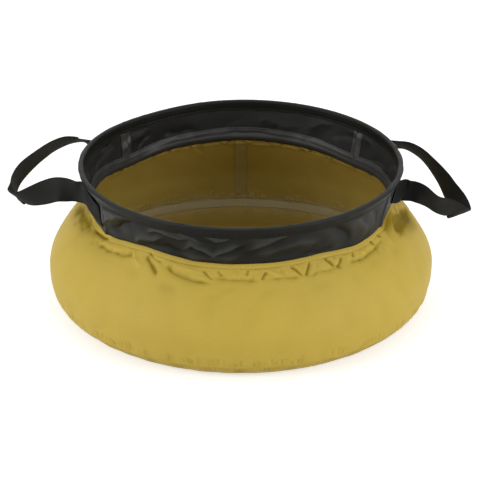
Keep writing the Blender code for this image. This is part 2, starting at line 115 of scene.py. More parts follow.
# The radii by which azimuths are turned into lengths on the collar and on the skirt
COLLAR_MEAN_RADIUS = 0.16
SKIRT_MEAN_RADIUS = 0.165

# Webbing and handles
WEBBING_WIDTH = 0.025
WEBBING_THICKNESS = 0.0014
WEBBING_CUP = 0.0004
CUP_LENGTH = 0.031
EDGE_WAVE = 0.35 * MM
EDGE_WAVE_LENGTH = 0.009
EDGE_WAVE_RISE = 0.03
SELVEDGE_WIDTH = 0.0013
RIB_PITCH = 0.00115
WARP_PITCH = 0.0009
CLOTH_THREAD_PITCH = 0.0005
HANDLE_REACH = 0.069
HANDLE_MIDDLE = 0.1332
TAB_RADIUS = 0.1624
# The front sewn ends: how far each sinks towards its seam, how far it stands off the collar, rises
# and leans (in degrees) at its fold, and the azimuth at which it starts
TAB_DROPS = {"left": 0.0078, "right": -0.0040}
FOLD_STANDOFFS = {"left": 0.0010, "right": 0.0035}
FOLD_RISES = {"left": -0.0004, "right": 0.0020}
FOLD_LEANS = {"left": 3.0, "right": 5.0}
END_STARTS = {"left": 60.4, "right": 71.5}
END_LENGTH = 0.0324
FOLD_RADIUS = 0.0030
FRONT_SPAN = 0.0365
REAR_SPAN = 0.0680
HINGE_RADIUS = 0.16735
# The straps' colour is darkened near their ends as painted shade, up to this distance and fading over
# that one
SHADE_REACH = 46 * MM
SHADE_FADE = 14 * MM
# The rows of stitches across each sewn end, as steps of the route, and the stitches in a row, as
# the first and last place across the webbing and the pitch
END_STITCH_STEPS = (3, 22)
END_STITCH_PLACES = (-10.5 * MM, 10.6 * MM, 2.6 * MM)
END_STITCH_LENGTH = 2.0 * MM

# Each handle from its front end round to its rear end: share of the reach, share of the front
# span, rise as a share of the webbing's width, and the lean of its upper edge in degrees
HANDLE_PLACE_SHARES = {
    "left": (
        (0.000, -1.00, 0.00, -14), (0.120, -1.01, 0.06, 2), (0.237, -1.04, 0.12, 14),
        (0.335, -1.01, 0.07, 16), (0.470, -1.03, -0.04, 8), (0.687, -1.06, -0.20, -18),
        (0.865, -0.98, -0.29, -46), (0.908, -0.66, -0.32, -28), (0.955, -0.25, -0.24, -8),
        (0.880, 0.28, 0.00, 8), (0.642, 0.93, 0.31, 19), (0.453, 1.43, 0.41, 30),
        (0.285, 1.86, 0.36, 40), (0.110, 2.09, 0.33, 54), (0.000, 2.08, 0.32, 60),
    ),
    "right": (
        (0.000, -1.00, 0.00, -14), (0.085, -0.99, 0.02, -10), (0.214, -1.05, -0.08, -12),
        (0.415, -1.12, -0.42, -34), (0.588, -1.06, -0.66, -26), (0.739, -0.97, -0.88, -36),
        (0.800, -0.90, -1.08, -58), (0.837, -0.62, -1.22, -66), (0.822, -0.26, -1.10, -42),
        (0.735, 0.15, -0.80, -11), (0.635, 0.50, -0.48, 0), (0.510, 0.90, -0.19, 11),
        (0.370, 1.32, 0.05, 24), (0.200, 1.75, 0.15, 36), (0.000, 2.04, 0.16, 50),
    ),
}

# Where the neck line leaves its circle: azimuth, change of height in mm, spread in degrees
NECK_LINE = (
    (-64, -6.0, 14), (50, -4.5, 12), (131, -5.0, 16), (-131, -5.5, 16),
    (-36, 4.0, 13), (30, 1.6, 10), (178, 2.0, 16), (66.2, -2.2, 1.3),
)
# The step up of the neck line behind the right front seam: height in mm and azimuths
NECK_STEP = (9.5, 66.6, 71.0, 76.0, 92.0)
# How far down the skirt the neck line's shift is felt
NECK_SHIFT_REACH = 48 * MM
# The soft rim is pressed in at its rear left: depth, azimuth and spread in degrees
RIM_PINCH = (6.0 * MM, -143.0, 24.0)
# Beyond this radius, and fading over this length, the handles are clear of that
PRESSED_RADIUS = 0.185
PRESSED_FADE = 0.02

# Folds of the collar's front, as lines of (azimuth, height in mm) from left to right, with their
# height, their width below and their width above the line in mm
COLLAR_FOLDS = (
    (((-63, 114), (-52.5, 131.5), (-45, 142.5), (-38, 147)), 2.4, 2.4, 10.0),
    (((-57, 112), (-47.5, 130), (-41, 139.5), (-33, 144), (-25, 146)), -2.2, 7.0, 2.6),
    (((-58, 132), (-53, 141), (-46, 147)), 1.4, 5.5, 5.0),
    (((-36, 131), (-31, 137.5), (-28.5, 138), (-24.8, 135), (-17, 136.5)), 1.7, 1.6, 5.0),
    (((-42, 115), (-38, 121.3), (-32, 125), (-27, 133)), 1.5, 1.8, 5.5),
    (((-40, 113), (-34, 118), (-26, 121), (-20, 118)), -1.2, 5.0, 4.0),
    (((-25, 144), (-20.8, 142), (-16.5, 137), (-12, 133)), 1.0, 2.6, 1.3),
    (((-30, 145), (-21, 147), (-14, 144), (-8, 138), (-3, 141)), 2.2, 3.0, 7.0),
    (((-22, 120), (-17, 129), (-13.2, 125.5), (-9.5, 120.5), (-5.5, 125), (-2, 131), (3, 135.5)),
     2.4, 2.0, 6.5),
    (((-22, 116), (-13, 115), (-5, 117), (2, 122)), 1.4, 4.5, 5.5),
    (((-11, 136), (-5.5, 138), (-2, 144)), 0.9, 1.6, 3.5),
    (((0, 124), (5, 130.5), (9.5, 135), (13.5, 141), (19, 144), (29, 144)), 2.3, 2.6, 7.5),
    (((3, 118), (10, 124), (17, 129), (24, 130), (31, 125)), 1.5, 5.0, 6.0),
    (((2.5, 145), (8, 146), (11, 144)), 1.0, 2.2, 3.0),
    (((31, 148), (34, 141), (37.5, 134), (41, 126), (44, 117)), -1.9, 4.5, 5.5),
    (((42, 143), (46, 135), (50, 126), (54, 116)), 1.5, 6.0, 5.0),
    (((20, 116), (28, 114), (37, 116)), -0.9, 3.0, 4.0),
    (((53, 143), (57, 133), (60, 120)), -1.0, 4.5, 4.0),
    (((-76, 145), (-70, 142), (-63, 137)), -2.6, 3.0, 3.6),
    (((68, 139), (73, 143), (78, 145)), -2.2, 2.2, 3.0),
)

# Folds of the skirt's front, as lines of (azimuth, mm from the neck along the cloth) from left to
# right, with their height, their width above and their width below the line in mm
SKIRT_FOLDS = (
    (((-70, 6.5), (-63, 4.5), (-56, 3.5)), -2.6, 2.2, 2.6),
    (((-63, 12), (-58, 14), (-52, 15), (-47, 14.8), (-42, 13), (-37, 12.5)), -1.5, 4.2, 2.6),
    (((-60, 9), (-52, 9.5), (-45, 9)), 0.5, 3.4, 3.4),
    (((-36, 8), (-33, 13), (-30.5, 18), (-28, 24)), -1.9, 3.6, 3.2),
    (((-35, 5), (-30.8, 8.8), (-28, 11)), -0.9, 1.8, 1.4),
    (((-41, 7), (-39, 14), (-35, 20)), 1.0, 2.2, 3.0),
    (((-29, 10.5), (-25, 14.5), (-20.8, 18), (-17, 20), (-12, 21.4), (-8, 21)), -1.8, 5.0, 2.8),
    (((-24, 8), (-19, 10), (-13, 11)), 0.9, 2.2, 2.4),
    (((-18, 14), (-15, 16), (-11, 17)), 0.7, 2.4, 2.4),
    (((-14, 8), (-12, 12), (-9, 18)), -1.0, 1.6, 1.2),
    (((-11, 15), (-5, 16.5), (1.5, 17), (8, 17)), -1.1, 3.6, 2.4),
    (((-8, 8), (-6, 14)), -0.9, 1.2, 1.8),
    (((1.6, 13), (2.4, 6)), -1.0, 1.6, 0.9),
    (((-2, 7), (-1, 14)), 0.7, 1.4, 1.8),
    (((7.2, 18), (9, 7)), -1.3, 1.0, 2.2),
    (((9.5, 7), (12.5, 13), (15, 15)), 0.9, 1.3, 2.0),
    (((8, 17.5), (15, 16.5), (21.8, 19.5)), -0.9, 3.0, 2.4),
    (((17, 6), (19.5, 13), (21.8, 19.5)), -1.4, 2.2, 1.0),
    (((21.8, 19.5), (23.5, 12), (25, 5)), -1.5, 1.0, 2.2),
    (((20.5, 6), (21.5, 13)), 0.9, 1.8, 1.8),
    (((21.8, 19.5), (26, 18), (33.5, 18), (38, 17.5)), -0.9, 3.2, 2.4),
    (((30.5, 6), (33.5, 17.5)), -1.4, 2.2, 0.9),
    (((33.5, 17.5), (36, 13), (38.5, 8)), -1.3, 1.0, 2.0),
    (((34.6, 12), (35, 6)), 0.8, 1.6, 1.6),
    (((38, 17), (44, 15.5), (49.5, 15), (55, 13), (62, 11)), -1.3, 3.6, 2.2),
    (((43, 11), (44, 5)), -1.0, 0.9, 1.8),
    (((48, 6), (50, 12)), 0.8, 1.3, 2.0),
    (((54.5, 3), (55.4, 10)), -1.4, 1.9, 0.9),
    (((60, 3), (61, 9)), -1.1, 1.6, 0.9),
    (((66, 20), (74, 18), (82, 19), (90, 24), (99, 36)), -6.5, 8.0, 13.0),
    (((74, 4), (80, 5), (86, 7)), 1.2, 2.6, 3.4),
    (((81, 5), (83, 10), (83.5, 16)), 2.4, 1.8, 2.6),
    (((-98, 26), (-88, 17), (-79, 12), (-68, 9)), -4.2, 8.0, 11.0),
    (((-86, 17), (-80, 19), (-73, 20)), -0.9, 3.5, 2.6),
)

# How far the folds' lines wander, in degrees and along the cloth
FOLD_WANDER = (0.25, 0.5 * MM)

# Painted shade on the shoulder beside the handles, where the cloth dips: azimuth, mm from the neck,
# spreads in degrees and in mm, and depth of the painted shade
SHOULDER_PAINTED_SHADE = (
    (-84, 8, 16, 16, 0.50), (-69, 9, 4, 5, 0.40), (68, 6, 3, 7, 0.85), (72, 11, 4, 9, 0.85),
    (77, 19, 5, 9, 0.70), (83, 28, 6, 9, 0.75), (90, 36, 6, 8, 0.55), (92, 10, 12, 12, 0.40),
)

# Clusters of small puckers at the base seam: first and last azimuth
BASE_PUCKERS = ((-40, -33), (-32, -28), (-21, -14), (-12, -6), (-6, 0), (4, 19), (27, 31), (38, 46))

# Smooth noise on the cloth: seed, counts of waves round the bowl and lengths of waves across them
WAVES = {
    "fold_sideways": (61, (20, 60), (0.02, 0.06)),
    "fold_endways": (62, (20, 60), (0.02, 0.06)),
    "skirt_gathers": (21, (40, 120), (0.012, 0.05)),
    "skirt_bulges": (8, (3, 10), (0.12, 0.4)),
    "skirt_dents": (9, (14, 34), (0.03, 0.12)),
    "skirt_foot": (13, (20, 60), (0.02, 0.1)),
    "neck_pull": (23, (9, 60), (1, 2)),
    "base_edge": (31, (20, 60), (0.02, 0.1)),
    "floor_broad": (33, (2, 9), (0.05, 0.2)),
    "floor_fine": (34, (6, 18), (0.04, 0.1)),
    "collar": (41, (8, 40), (0.02, 0.09)),
    "casing": (51, (12, 60), (0.02, 0.06)),
}

# The studio: each light's place, size and power, what the floor and the world give off
LIGHTS = {
    "soft_left": ((-2.15, -0.98, 0.82), (1.2, 1.0), 27.0),
    "soft_right": ((1.95, -1.1, 0.75), (1.1, 0.9), 23.5),
    "soft_top": ((0.0, 0.5, 2.0), (1.6, 1.2), 7.0),
}
LIGHT_TARGET = (0.0, 0.0, 0.07)
FLOOR_HALF = 4.0
FLOOR_GLOW = 0.56
WORLD_STRENGTH = 0.44
WHITE = (1.0, 1.0, 1.0, 1.0)

# The camera, fitted to the rim, the neck, the bowl's side and the base line
CAMERA_ELEVATION = 25.823
CAMERA_DISTANCE = 2.2
CAMERA_FOCAL_PIXELS = 2103.5
PHOTO_PIXELS = 480
AIM_HEIGHT = 0.0607
MIDDLE_PIXEL = 240.8
SENSOR_WIDTH = 36.0
CLIP_END = 20.0


def smooth(share):
    share = np.clip(share, 0.0, 1.0)
    return share * share * (3.0 - 2.0 * share)


def bell(distance, width):
    return np.exp(-(distance / width) ** 2)


def wrapped(azimuth):
    return (azimuth + 180.0) % 360.0 - 180.0


def round_point(radius, azimuth, height):
    """Points at a radius, azimuth and height, as an array with x, y and z last."""
    turn = np.radians(azimuth)
    radius, turn, height = np.broadcast_arrays(radius, turn, height)
    return np.stack((radius * np.sin(turn), -radius * np.cos(turn), height), -1)


def ripples(azimuth, along, name, number=10):
    """Smooth noise round the bowl: waves of whole counts, slanted at random, that add up to about 1."""
    seed, counts, lengths = WAVES[name]
    rng = np.random.default_rng(seed)
    total = np.zeros(np.broadcast(azimuth, along).shape)
    for _ in range(number):
        count = rng.integers(*counts)
        slant = TURN / rng.uniform(*lengths) * rng.choice((-1, 1))
        total += np.sin(np.radians(azimuth) * count + along * slant + rng.uniform(0, TURN))
    return total / np.sqrt(number)


# Lines of points

def unit(vectors):
    return vectors / np.linalg.norm(vectors, axis=1)[:, None]


def distances(line):
    """How far along a line each of its points is."""
    return np.concatenate(([0.0], np.cumsum(np.linalg.norm(np.diff(line, axis=0), axis=1))))


def spaced(line, arc, at):
    """A line's points at other distances along it than its own."""
    return np.stack([np.interp(at, arc, column) for column in line.T], -1)


def softened(line, half):
    """A line smoothed over some points to each side, with its ends kept in place."""
    kernel = np.hanning(2 * half + 1)
    kernel /= kernel.sum()
    before, after = line[:1] * 2 - line[half:0:-1], line[-1:] * 2 - line[-2:-half - 2:-1]
    padded = np.concatenate((before, line, after))
    return np.stack([np.convolve(column, kernel, "valid") for column in padded.T], -1)


def bezier(start, end, handle_shares, count):
    span = end - start
    first, second = (start + span * np.array(share) for share in handle_shares)
    t = np.linspace(0.0, 1.0, count)[:, None]
    s = 1.0 - t
    return start * s ** 3 + first * (3 * s * s * t) + second * (3 * s * t * t) + end * t ** 3


class Profile:
    """A smooth open line in radius and height, read by the distance along it."""

    def __init__(self, line, rounding):
        arc = distances(line)
        self.length = arc[-1]
        self.at = np.arange(0.0, self.length, PROFILE_STEP)
        self.line = softened(spaced(line, arc, self.at), int(rounding / PROFILE_STEP))
        way = unit(np.gradient(self.line, self.at, axis=0))
        self.out = np.stack((-way[:, 1], way[:, 0]), -1)

    def read(self, along, proud=0.0):
        """Radius and height at a distance along the line and a height proud of it."""
        place = [np.interp(along, self.at, self.line[:, i]) for i in (0, 1)]
        out = [np.interp(along, self.at, self.out[:, i]) for i in (0, 1)]
        return place[0] + out[0] * proud, place[1] + out[1] * proud


NECK_SLOPE = NECK + (RIDGE - NECK) * np.linspace(0, 1, 40)[:, None]
SHOULDER = bezier(RIDGE, WIDEST, SHOULDER_SHARES, 120)
UNDER = bezier(WIDEST, BASE_SEAM, UNDER_SHARES, 80)
SKIRT_LINE = Profile(np.concatenate((NECK_SLOPE, SHOULDER[1:], UNDER[1:])), 5 * MM)
TURN_UP = bezier(FLAT_EDGE, BASE_SEAM, TURN_UP_SHARES, 80)[::-1]
BASE_LINE = Profile(np.concatenate((TURN_UP, [(0.0, 0.0)])), 3 * MM)


# Folds

def fold(across, along, path, height, before, after):
    """A fold along a line of points, with a width on each side and running out at both ends."""
    lengths = [np.hypot(b[0] - a[0], b[1] - a[1]) for a, b in zip(path, path[1:])]
    total, passed = sum(lengths), 0.0
    nearest = np.full(np.broadcast(across, along).shape, 1.0)
    share = np.zeros_like(nearest)
    width = np.full_like(nearest, before)
    for (ax, ay), (bx, by), length in zip(path, path[1:], lengths):
        t = ((across - ax) * (bx - ax) + (along - ay) * (by - ay)) / length ** 2
        t = np.clip(t, 0.0, 1.0)
        gap = np.hypot(across - ax - t * (bx - ax), along - ay - t * (by - ay))
        closer = gap < nearest
        nearest = np.where(closer, gap, nearest)
        share = np.where(closer, (passed + t * length) / total, share)
        beyond = (bx - ax) * (along - ay) - (by - ay) * (across - ax)
        turned = smooth(0.5 + beyond / length / (1.2 * MM))
        width = np.where(closer, before + (after - before) * turned, width)
        passed += length
    run_out = smooth(np.minimum(share, 1.0 - share) / 0.3 + 0.12)
    return height * run_out * np.exp(-(nearest / width) ** 1.5)


def folded(azimuth, along, table, radius):
    """Adds up a table of folds. Only the columns near each fold are worked out."""
    total = np.zeros(np.broadcast(azimuth, along).shape)
    azimuth = azimuth + FOLD_WANDER[0] * ripples(azimuth, along, "fold_sideways")
    along = along + FOLD_WANDER[1] * ripples(azimuth, along, "fold_endways")
    for path, height, before, after in table:
        ends = [point[0] for point in path]
        middle = (min(ends) + max(ends)) / 2
        reach = (max(ends) - min(ends)) / 2 + degrees(3.2 * max(before, after) * MM / radius) + 4.0
        near = np.abs(wrapped(azimuth[:, 0] - middle)) < reach
        across = np.radians(wrapped(azimuth[near] - middle)) * radius
        placed = [(radians(a - middle) * radius, b * MM) for a, b in path]
        total[near] += fold(across, along[near], placed, height * MM, before * MM, after * MM)
    return total


def back_skirt_folds(seed):
    """Gathers round the sides and the back, like those of the front: pairs that meet in a V."""
    rng = np.random.default_rng(seed)
    table = []
    azimuth = 101.0
    while azimuth < 254.0:
        foot = (azimuth, rng.uniform(15, 20))
        left = (azimuth - rng.uniform(1.5, 4.5), rng.uniform(5, 8))
        right = (azimuth + rng.uniform(1.5, 4.5), rng.uniform(5, 8))
        table.append(((left, foot), -rng.uniform(0.9, 1.5), 2.2, 1.0))
        table.append(((foot, right), -rng.uniform(0.9, 1.5), 1.0, 2.2))
        table.append((((azimuth, 6), (azimuth + 0.6, foot[1] - 6)), rng.uniform(0.5, 1.0), 1.8, 1.8))
        step = rng.uniform(8, 13)
        line = (foot, (azimuth + step / 2, foot[1] + rng.uniform(-2, 1)), (azimuth + step, foot[1]))
        table.append((line, -rng.uniform(1.0, 1.8), 3.4, 1.5))
        if rng.random() < 0.35:
            low = (azimuth + rng.uniform(-7, 7), rng.uniform(28, 42))
            table.append(((foot, low), rng.uniform(-1.6, 1.2), rng.uniform(2, 5), rng.uniform(2, 5)))
        azimuth += step
    return tuple(table)


def back_collar_folds(seed):
    """Soft creases of the side and rear panels, mostly slanted or lying."""
    rng = np.random.default_rng(seed)
    table = []
    for _ in range(34):
        azimuth, height = rng.uniform(74, 286), rng.uniform(113, 140)
        run, rise = rng.uniform(4, 10), rng.uniform(-9, 9)
        bend = rng.uniform(-4, 4)
        ends = [min(max(height + rise * k + bend * (k == 0), 111), 142) for k in (-1, 0, 1)]
        path = tuple((azimuth + run * k, end) for k, end in zip((-1, 0, 1), ends))
        if rng.random() < 0.65:
            table.append((path, rng.uniform(0.6, 1.4), rng.uniform(2.0, 3.4), rng.uniform(4, 8)))
        else:
            table.append((path, -rng.uniform(0.5, 1.2), rng.uniform(4, 7), rng.uniform(2.6, 4)))
    return tuple(table)


def base_clusters():
    """First and last azimuth of each cluster of puckers, listed in front and at random behind."""
    rng = np.random.default_rng(3)
    clusters = list(BASE_PUCKERS)
    at = 52.0
    while at < 316.0:
        width = rng.uniform(4, 12)
        clusters.append((at, at + width))
        at += width + rng.uniform(2, 10)
    return clusters


def base_puckers():
    """Small upright puckers that run up from the base seam, about 5 mm apart in each cluster."""
    rng = np.random.default_rng(4)
    length = SKIRT_LINE.length / MM
    table = []
    for first, last in base_clusters():
        at = first
        while at < last:
            foot = (at + rng.uniform(-0.5, 0.5), length - 1.5)
            top = (at, foot[1] - rng.uniform(5, 12))
            table.append(((top, foot), -rng.uniform(0.5, 1.0), 1.5, 0.8))
            at += rng.uniform(1.1, 1.8)
    return tuple(table)


SKIRT_TABLE = SKIRT_FOLDS + back_skirt_folds(5) + base_puckers()
COLLAR_TABLE = COLLAR_FOLDS + back_collar_folds(11)


def neck_shift(azimuth):
    """How far the neck line leaves its circle, up or down."""
    shift = sum(change * MM * bell(wrapped(azimuth - at), spread) for at, change, spread in NECK_LINE)
    height, foot, top, last, end = NECK_STEP
    at = wrapped(azimuth)
    return shift + height * MM * smooth((at - foot) / (top - foot)) * smooth((end - at) / (end - last))


def rim_pinch(azimuth):
    """How far the soft rim is pressed in at its rear left."""
    depth, at, spread = RIM_PINCH
    return depth * bell(wrapped(azimuth - at), spread)


def base_ripples(azimuth):
    """The small puckers on the base's side of its seam, as a height along the seam."""
    around = np.radians(azimuth) * BASE_SEAM[0]
    waves = np.sin(TURN * around / (4.9 * MM)) + 0.6 * np.sin(TURN * around / (3.6 * MM) + 1.0)
    share = np.zeros_like(azimuth)
    for first, last in base_clusters():
        middle, half = (first + last) / 2, (last - first) / 2
        share = np.maximum(share, smooth((half + 1.0 - np.abs(wrapped(azimuth - middle))) / 2.0))
    return waves * share


# The surfaces

# The skirt: how much of its folds, heights of its smaller forms, and where along the cloth, or over
# what length, each of them rises, falls or spreads
SKIRT_FOLD_SHARE = 0.95
GATHER_HEIGHT, GATHERS_RISE, GATHERS_END, GATHERS_FALL = 0.14 * MM, 4 * MM, 24 * MM, 8 * MM
BULGE_HEIGHT, BULGE_START, BULGE_RISE, BULGE_FALL = 0.5 * MM, 16 * MM, 22 * MM, 20 * MM
DENT_HEIGHT = 0.28 * MM
WELT_HEIGHT, WELT_SPREAD = 0.15 * MM, 2.2 * MM
PULL_DEPTH, PULL_SPREAD, PULL_MEAN, PULL_CHANGE = 0.36 * MM, 0.9 * MM, 0.45, 0.6
PUCKER_HEIGHT, PUCKER_SPREAD = 0.12 * MM, 1.6 * MM
FOOT_HEIGHT, FOOT_SPREAD = 0.25 * MM, 16 * MM
BACK_SEAM_HEIGHT, BACK_SEAM_EDGE, BACK_SEAM_RISE = 0.5 * MM, 1.2 * MM, 8 * MM


def skirt_height(azimuth, along):
    """How far the skirt stands proud of its smooth shape."""
    left = SKIRT_LINE.length - along
    height = SKIRT_FOLD_SHARE * folded(azimuth, along, SKIRT_TABLE, SKIRT_MEAN_RADIUS)
    gathers = smooth((GATHERS_END - along) / GATHERS_FALL) * smooth((along - NECK_WELT) / GATHERS_RISE)
    height += GATHER_HEIGHT * gathers * ripples(azimuth, along, "skirt_gathers")
    bulge = smooth((along - BULGE_START) / BULGE_RISE) * smooth(left / BULGE_FALL)
    height += BULGE_HEIGHT * bulge * ripples(azimuth, along, "skirt_bulges", 6)
    height += DENT_HEIGHT * bulge * ripples(azimuth, along, "skirt_dents")
    height += WELT_HEIGHT * bell(along - NECK_WELT / 2, WELT_SPREAD)
    pull = np.maximum(0.0, PULL_MEAN + PULL_CHANGE * ripples(azimuth, 0.0, "neck_pull"))
    height -= PULL_DEPTH * pull * bell(along - NECK_WELT, PULL_SPREAD)
    stitch = TURN * (np.radians(azimuth) * COLLAR_MEAN_RADIUS) / STITCH_PITCH
    height += PUCKER_HEIGHT * np.cos(stitch) * bell(along - NECK_WELT, PUCKER_SPREAD)
    height += FOOT_HEIGHT * bell(left, FOOT_SPREAD) * ripples(azimuth, along, "skirt_foot")
    back = np.abs(np.radians(wrapped(azimuth - 180.0)) * WIDEST[0])
    seam = smooth((TAPE_WIDTH / 2 - back) / BACK_SEAM_EDGE) * smooth(along / BACK_SEAM_RISE)
    return height + BACK_SEAM_HEIGHT * seam


def painted_pocket_shade(azimuth, along):
    """How deep the painted shade lies on the skirt beside the handles."""
    total = np.zeros(np.broadcast(azimuth, along).shape)
    for at, down, turned, tall, share in SHOULDER_PAINTED_SHADE:
        total += share * bell(wrapped(azimuth - at), turned) * bell(along / MM - down, tall)
    return total


def skirt_points(azimuth, along, proud=0.0):
    height = skirt_height(azimuth, along) + proud
    radius, level = SKIRT_LINE.read(along, height)
    fade = smooth((NECK_SHIFT_REACH - along) / NECK_SHIFT_REACH)
    return round_point(radius, azimuth, level + neck_shift(azimuth) * fade)


# The base: heights of the puckers and waves of its turned-up edge and of its floor's creases, and
# where along the cloth, or over what length, each of them rises, falls or spreads
EDGE_PUCKER_HEIGHT, EDGE_PUCKER_RISE, EDGE_PUCKER_SPREAD = 0.2 * MM, 1.0 * MM, 10 * MM
EDGE_WAVE_HEIGHT, EDGE_WAVE_PLACE, EDGE_WAVE_SPREAD = 0.3 * MM, 10 * MM, 9 * MM
CREASE_HEIGHT, CREASE_MEAN = 0.35 * MM, 0.9
CREASE_START, CREASE_RISE, CREASE_FALL = 28 * MM, 12 * MM, 0.05
LEAST_LEVEL = 0.15 * MM


def base_height(azimuth, along):
    """How far the base stands proud of its smooth shape."""
    puckered = EDGE_PUCKER_HEIGHT * bell(along, EDGE_PUCKER_SPREAD) * base_ripples(azimuth)
    height = puckered * smooth(along / EDGE_PUCKER_RISE)
    waves = bell(along - EDGE_WAVE_PLACE, EDGE_WAVE_SPREAD) * ripples(azimuth, along, "base_edge")
    height += EDGE_WAVE_HEIGHT * waves
    flat = smooth((along - CREASE_START) / CREASE_RISE)
    spoke = smooth((BASE_LINE.length - along) / CREASE_FALL)
    lift = ripples(azimuth, along, "floor_broad") + ripples(azimuth, along, "floor_fine")
    crease = CREASE_HEIGHT * flat * spoke * (lift + CREASE_MEAN)
    return height * (1 - flat) - np.maximum(0.0, crease)


def base_points(azimuth, along, proud=0.0):
    radius, level = BASE_LINE.read(along, base_height(azimuth, along) + proud)
    return round_point(np.maximum(radius, 0.0), azimuth, np.maximum(level, LEAST_LEVEL))


# The collar: its folds die out just below the casing, its foot rolls in over a small welt, its cloth
# is drawn in beside the seams, and its front and rear panels lap over the side ones
COLLAR_FOLD_SHARE = 1.35
COLLAR_RIPPLE_HEIGHT = 0.3 * MM
COLLAR_SMOOTH_DROP, COLLAR_FOLD_RISE = 5.0 * MM, 6 * MM
ROLL_DEPTH, ROLL_REACH = 0.9 * MM, 1.6 * MM
COLLAR_WELT_HEIGHT, COLLAR_WELT_PLACE = 0.5 * MM, 3 * MM
PINCH_START, PINCH_RISE = 3 * MM, 34 * MM
GROOVE_DEPTH, GROOVE_PLACE, GROOVE_SPREAD = 1.1 * MM, 0.6 * MM, 1.2 * MM
LAP_HEIGHT, LAP_WIDTH, LAP_FALL, LAP_EDGE = 1.2 * MM, 6.5 * MM, 3 * MM, 0.7 * MM
# The collar's depth along its slope, and the ridge that a seam makes under its tape
COLLAR_DEPTH = 41 * MM
SEAM_RIDGE_HEIGHT, SEAM_RIDGE_SPREAD = 1.3 * MM, 2.2 * MM


def collar_height(azimuth, level):
    """How far the collar stands proud of its smooth cone."""
    below = smooth((RIM_HEIGHT - COLLAR_SMOOTH_DROP - level) / COLLAR_FOLD_RISE)
    height = COLLAR_FOLD_SHARE * folded(azimuth, level, COLLAR_TABLE, COLLAR_MEAN_RADIUS) * below
    height += COLLAR_RIPPLE_HEIGHT * below * ripples(azimuth, level, "collar")
    return height


def collar_points(azimuth, share, proud=0.0):
    """Points from the casing's lips (share 0) to the collar's foot (share 1)."""
    foot = COLLAR_FOOT_HEIGHT + neck_shift(azimuth)
    level = COLLAR_TOP + (foot - COLLAR_TOP) * share
    height = collar_height(azimuth, level) + proud
    roll = ROLL_DEPTH * smooth((level - foot + ROLL_REACH) / ROLL_REACH) - ROLL_DEPTH
    radius = RIM_RADIUS - COLLAR_SLOPE * (RIM_HEIGHT - level) + height + roll
    radius += COLLAR_WELT_HEIGHT * bell(level - foot - COLLAR_WELT_PLACE, COLLAR_WELT_PLACE)
    radius -= rim_pinch(azimuth) * pinch_share(level)
    return round_point(radius, azimuth, level)


def pinch_share(level):
    """The pinch is full at the rim and runs out near the collar's foot."""
    return smooth((level - COLLAR_FOOT_HEIGHT - PINCH_START) / PINCH_RISE)


def seam_azimuth(place, share):
    """Where a collar seam lies, between the casing (share 0) and the foot (share 1)."""
    foot, rim = SEAMS[place]
    return rim + (foot - rim) * share


# Meshes from grids of points

def add_object(name, data):
    obj = bpy.data.objects.new(name, data)
    bpy.context.scene.collection.objects.link(obj)
    return obj


def add_mesh(name, points, uv, material, closed=False, attributes=None):
    """A mesh from columns of points. A closed one joins its last column to its first."""
    columns, rows = points.shape[:2]
    index = np.arange(columns * rows).reshape(columns, rows)
    after = np.roll(index, -1, axis=0)
    if not closed:
        index, after = index[:-1], after[:-1]
    quads = np.stack((index[:, :-1], index[:, 1:], after[:, 1:], after[:, :-1]), -1).reshape(-1, 4)
    wide = np.concatenate((uv, uv[:1] + [[[uv[-1, 0, 0] * 2 - uv[-2, 0, 0], 0.0]]]), 0)
    low = wide[:len(index)]
    high = wide[1:len(index) + 1]
    corners = np.stack((low[:, :-1], low[:, 1:], high[:, 1:], high[:, :-1]), 2).reshape(-1, 2)
    mesh = bpy.data.meshes.new(name)
    mesh.vertices.add(columns * rows)
    mesh.vertices.foreach_set("co", points.astype(np.float32).ravel())
    mesh.loops.add(quads.size)
    mesh.loops.foreach_set("vertex_index", quads.astype(np.int32).ravel())
    mesh.polygons.add(len(quads))
    mesh.polygons.foreach_set("loop_start", np.arange(0, quads.size, 4, dtype=np.int32))
    layer = mesh.uv_layers.new(name="cloth")
    layer.data.foreach_set("uv", corners.astype(np.float32).ravel())
    for key, values in (attributes or {}).items():
        attribute = mesh.attributes.new(key, "FLOAT", "POINT")
        attribute.data.foreach_set("value", values.astype(np.float32).ravel())
    mesh.update(calc_edges=True)
    mesh.validate()
    mesh.shade_smooth()
    mesh.materials.append(material)
    return add_object(name, mesh)


def weld(obj):
    obj.modifiers.new("Weld", "WELD").merge_threshold = WELD_DISTANCE


def thicken(obj, thickness, inner=None):
    """Gives a sheet its thickness, and its inner face a material of its own."""
    cloth = obj.modifiers.new("Cloth", "SOLIDIFY")
    cloth.thickness = thickness
    cloth.offset = -1.0
    if inner:
        obj.data.materials.append(inner)
        cloth.material_offset = 1


def hollows(height, reach=6, full=0.8 * MM):
    """Where a height field lies below its surroundings: about -1 in a deep crease and 1 on a crest."""
    mean = height
    for axis, steps in ((0, reach), (1, reach // 2 + 1)) * 2:
        mean = sum(np.roll(mean, step, axis) for step in range(-steps, steps + 1)) / (2 * steps + 1)
    return np.clip((height - mean) / full, -1.0, 1.0)


def wheel(count=COLUMNS, start=-180.0, end=180.0, closed=True):
    """Azimuths of a grid's columns, with one more axis for its rows."""
    return np.linspace(start, end, count, endpoint=not closed)[:, None]


def cloth_uv(azimuth, along, radius):
    across = np.radians(azimuth) * radius
    return np.stack(np.broadcast_arrays(across, along), -1)


